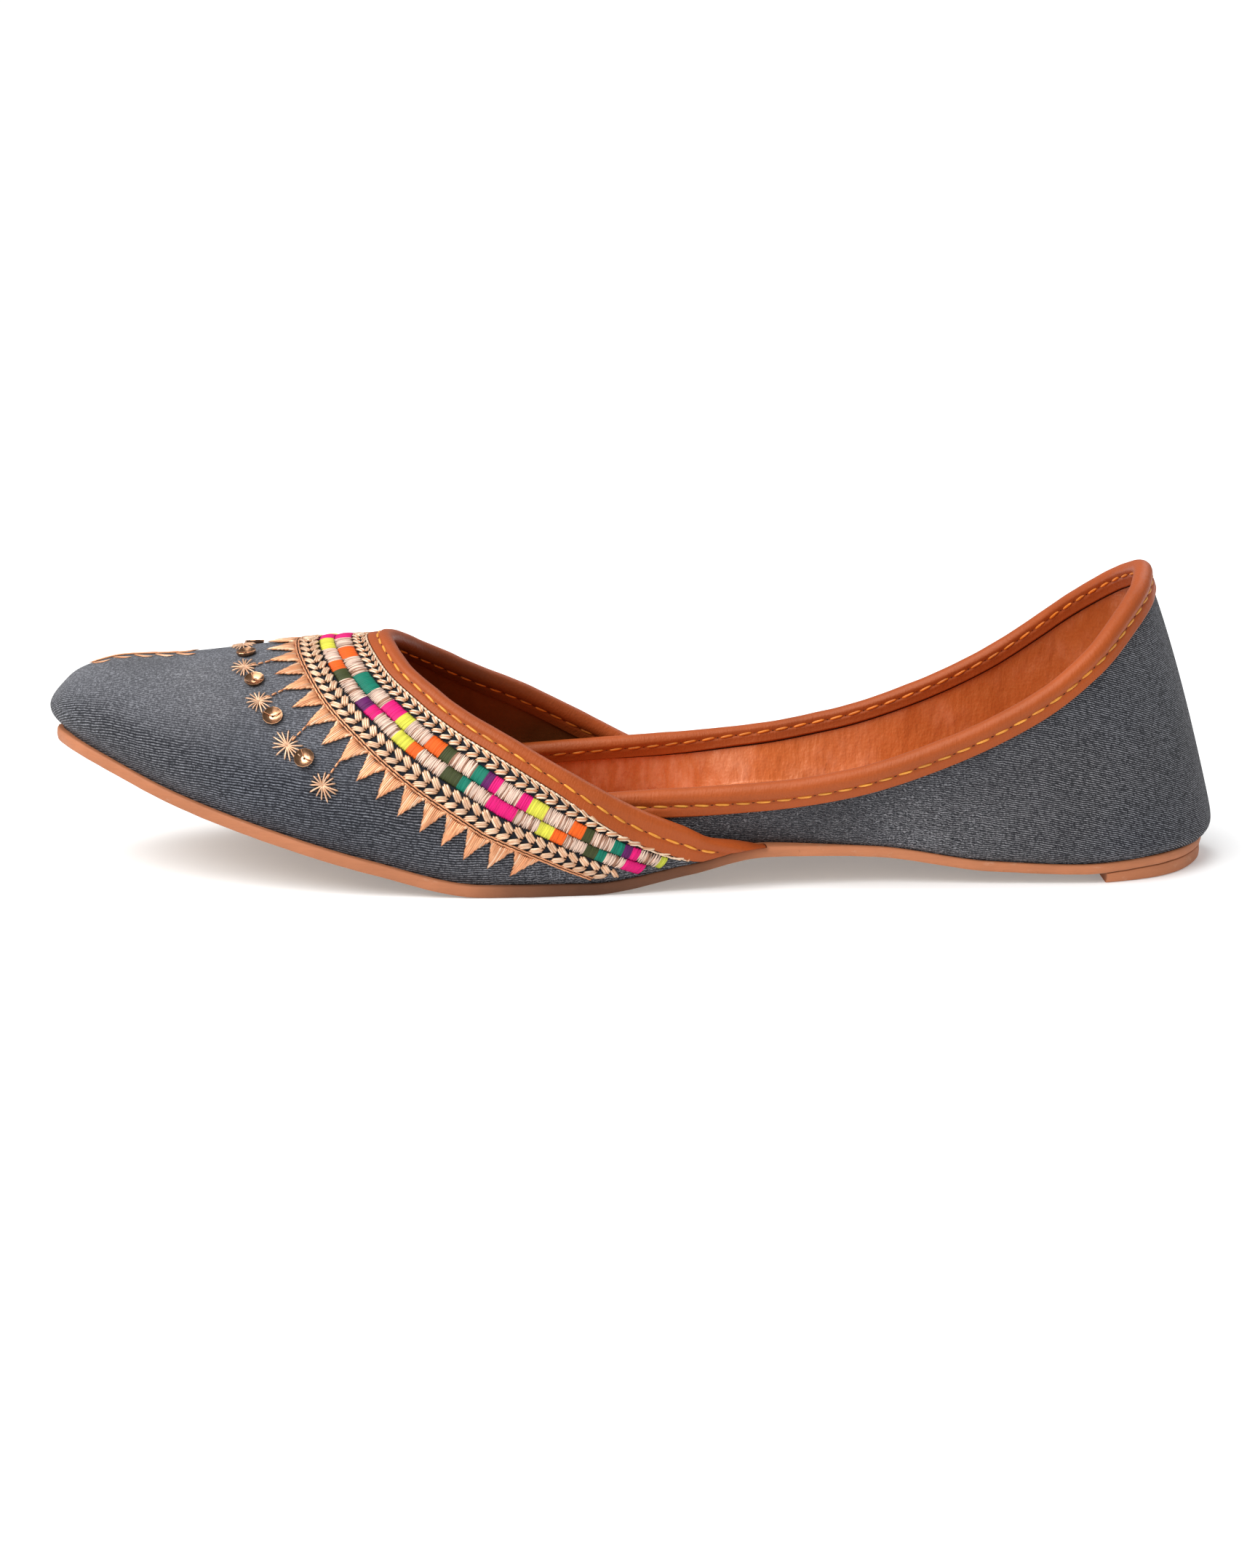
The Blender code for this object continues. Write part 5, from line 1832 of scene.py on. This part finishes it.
def star_strands(centres, radius, rng, colour):
    """Stars: thin rays from a raised centre, at even angles with a little chance."""
    angles = np.linspace(0.0, 2.0 * np.pi, STAR_RAYS, endpoint=False)[None, :]
    angles = angles + rng.uniform(-0.09, 0.09, (len(centres), STAR_RAYS))
    length = radius / MILLIMETRE * rng.uniform(0.82, 1.10, angles.shape)
    spokes = together(np.cos(angles), np.sin(angles))
    start = (centres[:, None] - spokes * 0.15).reshape(-1, 2)
    end = (centres[:, None] + spokes * length[..., None]).reshape(-1, 2)
    return lay_strands(start, end, *STAR_THREAD, blunt(9, 6.0), colour, rng, Fade(0.15), False)


def run_stitches(runs, rng, colour):
    """Run stitches in a line from a point of the border toward its star."""
    steps = np.linspace(0.0, 0.78, 4)
    share, run = np.meshgrid(steps[:-1], runs)
    foot = together(run, POINT_TIP + 0.1).reshape(-1, 2)
    head = together(run * STAR_SPREAD, STAR_DISTANCE).reshape(-1, 2)
    share = share.reshape(-1, 1)
    start = sign_pairs(foot + (head - foot) * share)
    end = sign_pairs(foot + (head - foot) * (share + steps[1] * 0.92))
    return lay_strands(start, end, *RUN_THREAD, blunt(7, 4.0), colour, rng, Fade(0.3), False)


class JUTTI_OT_stars(JuttiOperator):
    """Stars ahead of the border, with the run stitches that join them to its points."""

    bl_idname = "jutti.stars"
    bl_label = "Stars"

    def execute(self, context):
        sizes, colours = self.settings(context)
        rng = np.random.default_rng(SEED + 4)
        material = thread_finish("star_thread", 0.30, 0.36, 5.0, GOLD_SHADOW, 0.6)
        runs = tip_to_run(np.array(STAR_TIPS))
        centres = together(runs * STAR_SPREAD, STAR_DISTANCE)
        both = np.concatenate([centres, centres[1:] * np.array([-1.0, 1.0])])
        stars = star_strands(both, sizes.star_radius, rng, np.array(colours.gold))
        stitches = run_stitches(runs[1:], rng, np.array(colours.copper_thread))
        add_strands("stars", material, [stars, stitches])
        return {"FINISHED"}


# Sprig: ends along X, and a turn from the crown that measures across the ridge
SPRIG_START = -0.1180
SPRIG_END = -0.0966
RIDGE_TURN = 10.0


def sprig_side(side):
    """Centres and normals of the leaf strands on one side of the ridge.

    A strand leaves the ridge in a sine curve toward the heel; those of a leaf
    spread apart in its middle.
    """
    t = np.linspace(0.0, 1.0, 9)
    starts = np.linspace(SPRIG_START, SPRIG_END - 0.003, 5)
    base, spread = [g.ravel() for g in np.meshgrid(starts, np.linspace(-1.0, 1.0, 7), indexing="ij")]
    inner = 1.0 - np.abs(spread)
    x = base[:, None] + (0.0042 + 0.0008 * inner)[:, None] * t
    curve = (0.0003 + 0.0024 * np.sin(np.pi * t * 0.5) ** 1.2)[None, :]
    out = curve + 0.00042 * spread[:, None] * np.sin(np.pi * t)
    across = vamp_point(x, RIDGE_TURN + 0.0 * x) - vamp_point(x, 0.0 * x)
    reach = np.linalg.norm(across[..., 1:], axis=-1)
    turn = RIDGE_TURN * out / np.maximum(reach, TINY)
    normals = vamp_normal(x, np.maximum(turn, 0.5))
    lift = (0.00026 + 0.00014 * inner)[:, None, None]
    flip = np.array([1.0, side, 1.0])
    return (vamp_point(x, turn) + normals * lift) * flip, normals * flip


def sprig_stem():
    """Stem of the sprig: one round strand along the ridge."""
    x = np.linspace(SPRIG_START - 0.0008, SPRIG_END + 0.0012, 24)
    points = vamp_point(x, 0.0 * x)
    points[:, 1] = 0.0
    upward = unit(vamp_normal(x, 0.0 * x + 0.5) * np.array([1.0, 0.0, 1.0]))
    thick = np.array([0.0004])
    centres = points + upward * 0.0003
    return tubes(centres[None], upward[None], thick, thick, blunt(24, 8.0), ROUND_SIDES)


class JUTTI_OT_sprig(JuttiOperator):
    """Sprig of satin leaves along the ridge of the toe."""

    bl_idname = "jutti.sprig"
    bl_label = "Toe sprig"

    def execute(self, context):
        colours = self.settings(context)[1]
        rng = np.random.default_rng(SEED + 5)
        material = thread_finish("sprig_thread", 0.30, 0.36, 5.0, GOLD_SHADOW, 0.6)
        gold, copper = np.array(colours.gold), np.array(colours.copper_thread)
        sides = [sprig_side(side) for side in (-1.0, 1.0)]
        centres = np.concatenate([side[0] for side in sides])
        normals = np.concatenate([side[1] for side in sides])
        count = len(centres)
        width = np.full(count, 0.00046)
        body = tubes(centres, normals, width, width, blunt(9, 5.0), STRAND_SIDES)
        mixed = np.where(rng.uniform(0.0, 1.0, (count, 1)) < 0.5, gold, copper)
        tint = strand_tint(mixed, body, rng, Fade(0.25))
        stem = sprig_stem()
        stem_tint = np.broadcast_to(copper, (*stem.shape[:3], 3))
        add_strands("toe_sprig", material, [(body, tint), (stem, stem_tint)])
        return {"FINISHED"}


# Cup sequin from its hole out and back under: radius and height as shares of
# its radius, painted highlight and shade of the metal ring by ring
SequinRow = namedtuple("SequinRow", "out up bright")
SEQUIN = [SequinRow(*row) for row in (
    (0.14, 0.10, 1.80),
    (0.34, 0.08, 1.70),
    (0.64, 0.17, 0.85),
    (0.94, 0.35, 0.45),
    (1.00, 0.38, 1.60),
    (1.03, 0.34, 1.40),
    (0.99, 0.18, 0.80),
    (0.90, 0.00, 0.50),
    (0.50, -0.03, 0.40),
    (0.14, -0.02, 0.40),
)]


def across_axis(axis):
    """Two directions square to each axis, the first one level."""
    first = unit(np.cross(axis, np.array([0.0, 0.0, 1.0])))
    return first, np.cross(axis, first)


def sequin_rings(base, axis, radius):
    """Rings of the cup sequins: the half section turned round each axis, closed on itself."""
    first, second = across_axis(axis)
    angles = np.linspace(0.0, 2.0 * np.pi, 12, endpoint=False)
    circle = first[:, None] * np.cos(angles)[:, None] + second[:, None] * np.sin(angles)[:, None]
    profile = radius * np.array([(row.out, row.up) for row in SEQUIN])
    out = circle[:, None] * profile[None, :, None, :1]
    rings = base[:, None, None] + out + axis[:, None, None] * profile[None, :, None, 1:]
    return np.concatenate([rings, rings[:, :1]], axis=1)


def hold_strands(base, axis, radius, rng):
    """Two threads over each sequin, from its hole up to the rim and down past it."""
    first, second = across_axis(axis)
    t = np.linspace(0.0, 1.0, 9)
    turn = rng.uniform(0.0, 2.0 * np.pi, len(base))[:, None] + np.array([0.0, 2.3])
    spokes = first[:, None] * np.cos(turn)[..., None] + second[:, None] * np.sin(turn)[..., None]
    out = spokes[:, :, None] * (t * 1.06 * radius)[:, None]
    height = 0.16 + 0.28 * t ** 2 - 0.26 * (t > 0.99)
    centres = base[:, None, None] + out + axis[:, None, None] * (height * radius)[:, None]
    upward = np.broadcast_to(axis[:, None, None], centres.shape).reshape(-1, len(t), 3)
    thick = np.full(len(upward), 0.0002)
    return tubes(centres.reshape(-1, len(t), 3), upward, thick, thick, blunt(len(t), 8.0), STRAND_SIDES)


class JUTTI_OT_sequins(JuttiOperator):
    """Cup sequins ahead of the border, each held by threads through its hole."""

    bl_idname = "jutti.sequins"
    bl_label = "Sequins"

    def execute(self, context):
        sizes, colours = self.settings(context)
        radius = sizes.sequin_radius
        rng = np.random.default_rng(SEED + 6)
        runs = tip_to_run(np.array(SEQUIN_TIPS))
        spots = sign_pairs(together(runs, SEQUIN_DISTANCE))
        points, normals = on_vamp(spots[:, 0], spots[:, 1], narrow=False)
        first, second = across_axis(normals)
        tilt = rng.uniform(-0.07, 0.07, (len(points), 2))
        axis = unit(normals + first * tilt[:, :1] + second * tilt[:, 1:])
        base = points + normals * 0.00010
        rings = sequin_rings(base, axis, radius)
        nodes = [f"sequin_{number}" for number in range(1, 2 * len(SEQUIN_TIPS) + 1)]
        # painted highlights and shade on the cup, ring by ring
        bright = np.array([row.bright for row in SEQUIN + SEQUIN[:1]])[None, :, None, None]
        tint = np.broadcast_to(np.minimum(bright * np.array(colours.copper), 1.0), rings.shape)
        shape = strand_mesh(rings)._replace(uv=None)
        make_piece("cup_sequins", shape, sequin_finish(), tint, nodes, 15.0)
        material = thread_finish("sequin_thread", 0.1, 0.4, 5.0, GOLD_SHADOW, 0.4)
        strands = hold_strands(base, axis, radius, rng)
        tint = np.broadcast_to(np.array(shade(colours.copper_thread, 0.8)), (*strands.shape[:3], 3))
        add_strands("sequin_threads", material, [(strands, tint)])
        return {"FINISHED"}


# Stage


CAMERA_AIM = Vector((-0.00121, 0.0, 0.0155))
CAMERA_DISTANCE = 0.580
CAMERA_ELEVATION = np.radians(12.5)
CAMERA_LENS = 60.43
CAMERA_SENSOR = 36.0
FLOOR_SIZE = 6.0
WHITE = (1.0, 1.0, 1.0)
AMBIENT = 0.34
BACKDROP = 1.05
SKY_POWER = 3.8
SKY_SPREAD = np.radians(60.0)
SKY_HEADING = Vector((0.55, 0.28, -1.0))
LIGHT_AIM = Vector((0.0, 0.0, 0.03))
LIGHT_SIZE = 0.5
LIGHT_POWER = 1.6


def hang(scene, data, spot, heading):
    """Put a light or the camera at a spot, looking along a heading."""
    item = bpy.data.objects.new(data.name, data)
    item.location = spot
    item.rotation_euler = heading.to_track_quat("-Z", "Y").to_euler()
    scene.collection.objects.link(item)
    return item


def add_floor(scene):
    """White paper under the shoe, glowing faintly as painted light that keeps its shadows pale."""
    half = FLOOR_SIZE / 2.0
    corners = [(-half, -half, 0.0), (half, -half, 0.0), (half, half, 0.0), (-half, half, 0.0)]
    mesh = bpy.data.meshes.new("floor")
    mesh.from_pydata(corners, [], [(0, 1, 2, 3)])
    floor = bpy.data.objects.new("floor", mesh)
    scene.collection.objects.link(floor)
    f = Finish("floor_paper")
    paper = f.noise(f.object_place(), 90.0, 2.0)
    colour = f.mix(paper, (0.80, 0.80, 0.80), (0.83, 0.83, 0.83))
    # painted light: the paper glows, lifting its shadows and lighting the shoe from below
    mesh.materials.append(f.set(
        Base_Color=colour, Roughness=0.9, Specular_IOR_Level=0.1,
        Emission_Color=WHITE, Emission_Strength=0.22))


def add_world(scene):
    """Pale light from all round; the camera itself sees a white backdrop."""
    world = bpy.data.worlds.new("studio")
    world.use_nodes = True
    nodes = world.node_tree.nodes
    links = world.node_tree.links
    glow = nodes["Background"]
    backdrop = nodes.new("ShaderNodeBackground")
    for node, strength in ((glow, AMBIENT), (backdrop, BACKDROP)):
        node.inputs["Color"].default_value = (*WHITE, 1.0)
        node.inputs["Strength"].default_value = strength
    seen = nodes.new("ShaderNodeLightPath")
    blend = nodes.new("ShaderNodeMixShader")
    links.new(seen.outputs["Is Camera Ray"], blend.inputs[0])
    links.new(glow.outputs[0], blend.inputs[1])
    links.new(backdrop.outputs[0], blend.inputs[2])
    links.new(blend.outputs[0], nodes["World Output"].inputs["Surface"])
    scene.world = world
    scene.view_settings.view_transform = "Standard"


def add_sky(scene):
    """Broad soft light from above."""
    data = bpy.data.lights.new("softbox", "SUN")
    data.energy = SKY_POWER
    data.angle = SKY_SPREAD
    hang(scene, data, (0.0, 0.0, 0.0), SKY_HEADING)


def add_light(scene, name, place, colour):
    """Soft square light aimed at the shoe."""
    data = bpy.data.lights.new(name, "AREA")
    data.size = LIGHT_SIZE
    data.energy = LIGHT_POWER
    data.color = colour
    hang(scene, data, place, LIGHT_AIM - Vector(place))


def add_camera(scene):
    """Camera low on the shoe's side."""
    data = bpy.data.cameras.new("camera")
    data.lens = CAMERA_LENS
    data.sensor_width = CAMERA_SENSOR
    back = Vector((0.0, -np.cos(CAMERA_ELEVATION), np.sin(CAMERA_ELEVATION)))
    scene.camera = hang(scene, data, CAMERA_AIM + back * CAMERA_DISTANCE, -back)


class JUTTI_OT_stage(JuttiOperator):
    """White floor, soft studio light and the camera."""

    bl_idname = "jutti.stage"
    bl_label = "Stage"

    def execute(self, context):
        scene = context.scene
        add_floor(scene)
        add_world(scene)
        add_sky(scene)
        add_light(scene, "front", (-0.45, -0.90, 0.55), (1.0, 0.99, 0.97))
        add_light(scene, "back", (0.45, 0.70, 0.75), (0.97, 0.98, 1.0))
        add_camera(scene)
        return {"FINISHED"}


OPERATORS = (
    JUTTI_OT_cloth,
    JUTTI_OT_linings,
    JUTTI_OT_sole,
    JUTTI_OT_sock,
    JUTTI_OT_bindings,
    JUTTI_OT_stitching,
    JUTTI_OT_border,
    JUTTI_OT_stars,
    JUTTI_OT_sprig,
    JUTTI_OT_sequins,
    JUTTI_OT_stage,
)


class JUTTI_PT_panel(bpy.types.Panel):
    """Sidebar list of the shoe's pieces."""

    bl_idname = "JUTTI_PT_panel"
    bl_label = "Jutti"
    bl_space_type = "VIEW_3D"
    bl_region_type = "UI"
    bl_category = "Jutti"

    def draw(self, context):
        for operator in OPERATORS:
            self.layout.operator(operator.bl_idname)
        for group in (context.scene.jutti_sizes, context.scene.jutti_colours):
            for key in group.bl_rna.properties.keys():
                if key not in ("rna_type", "name"):
                    self.layout.prop(group, key)


CLASSES = (JuttiSizes, JuttiColours, *OPERATORS, JUTTI_PT_panel)


def register():
    """Register the classes and hang the settings on the scene."""
    for item in CLASSES:
        bpy.utils.register_class(item)
    bpy.types.Scene.jutti_sizes = bpy.props.PointerProperty(type=JuttiSizes)
    bpy.types.Scene.jutti_colours = bpy.props.PointerProperty(type=JuttiColours)


def unregister():
    """Take the settings and classes away again."""
    del bpy.types.Scene.jutti_colours
    del bpy.types.Scene.jutti_sizes
    for item in reversed(CLASSES):
        bpy.utils.unregister_class(item)


def main():
    """Register the settings, take away cameras and lights, and build every piece."""
    register()
    for item in [o for o in bpy.data.objects if o.type in {"CAMERA", "LIGHT"}]:
        bpy.data.objects.remove(item, do_unlink=True)
    for operator in OPERATORS:
        area, name = operator.bl_idname.split(".")
        getattr(getattr(bpy.ops, area), name)()


if __name__ == "__main__":
    main()
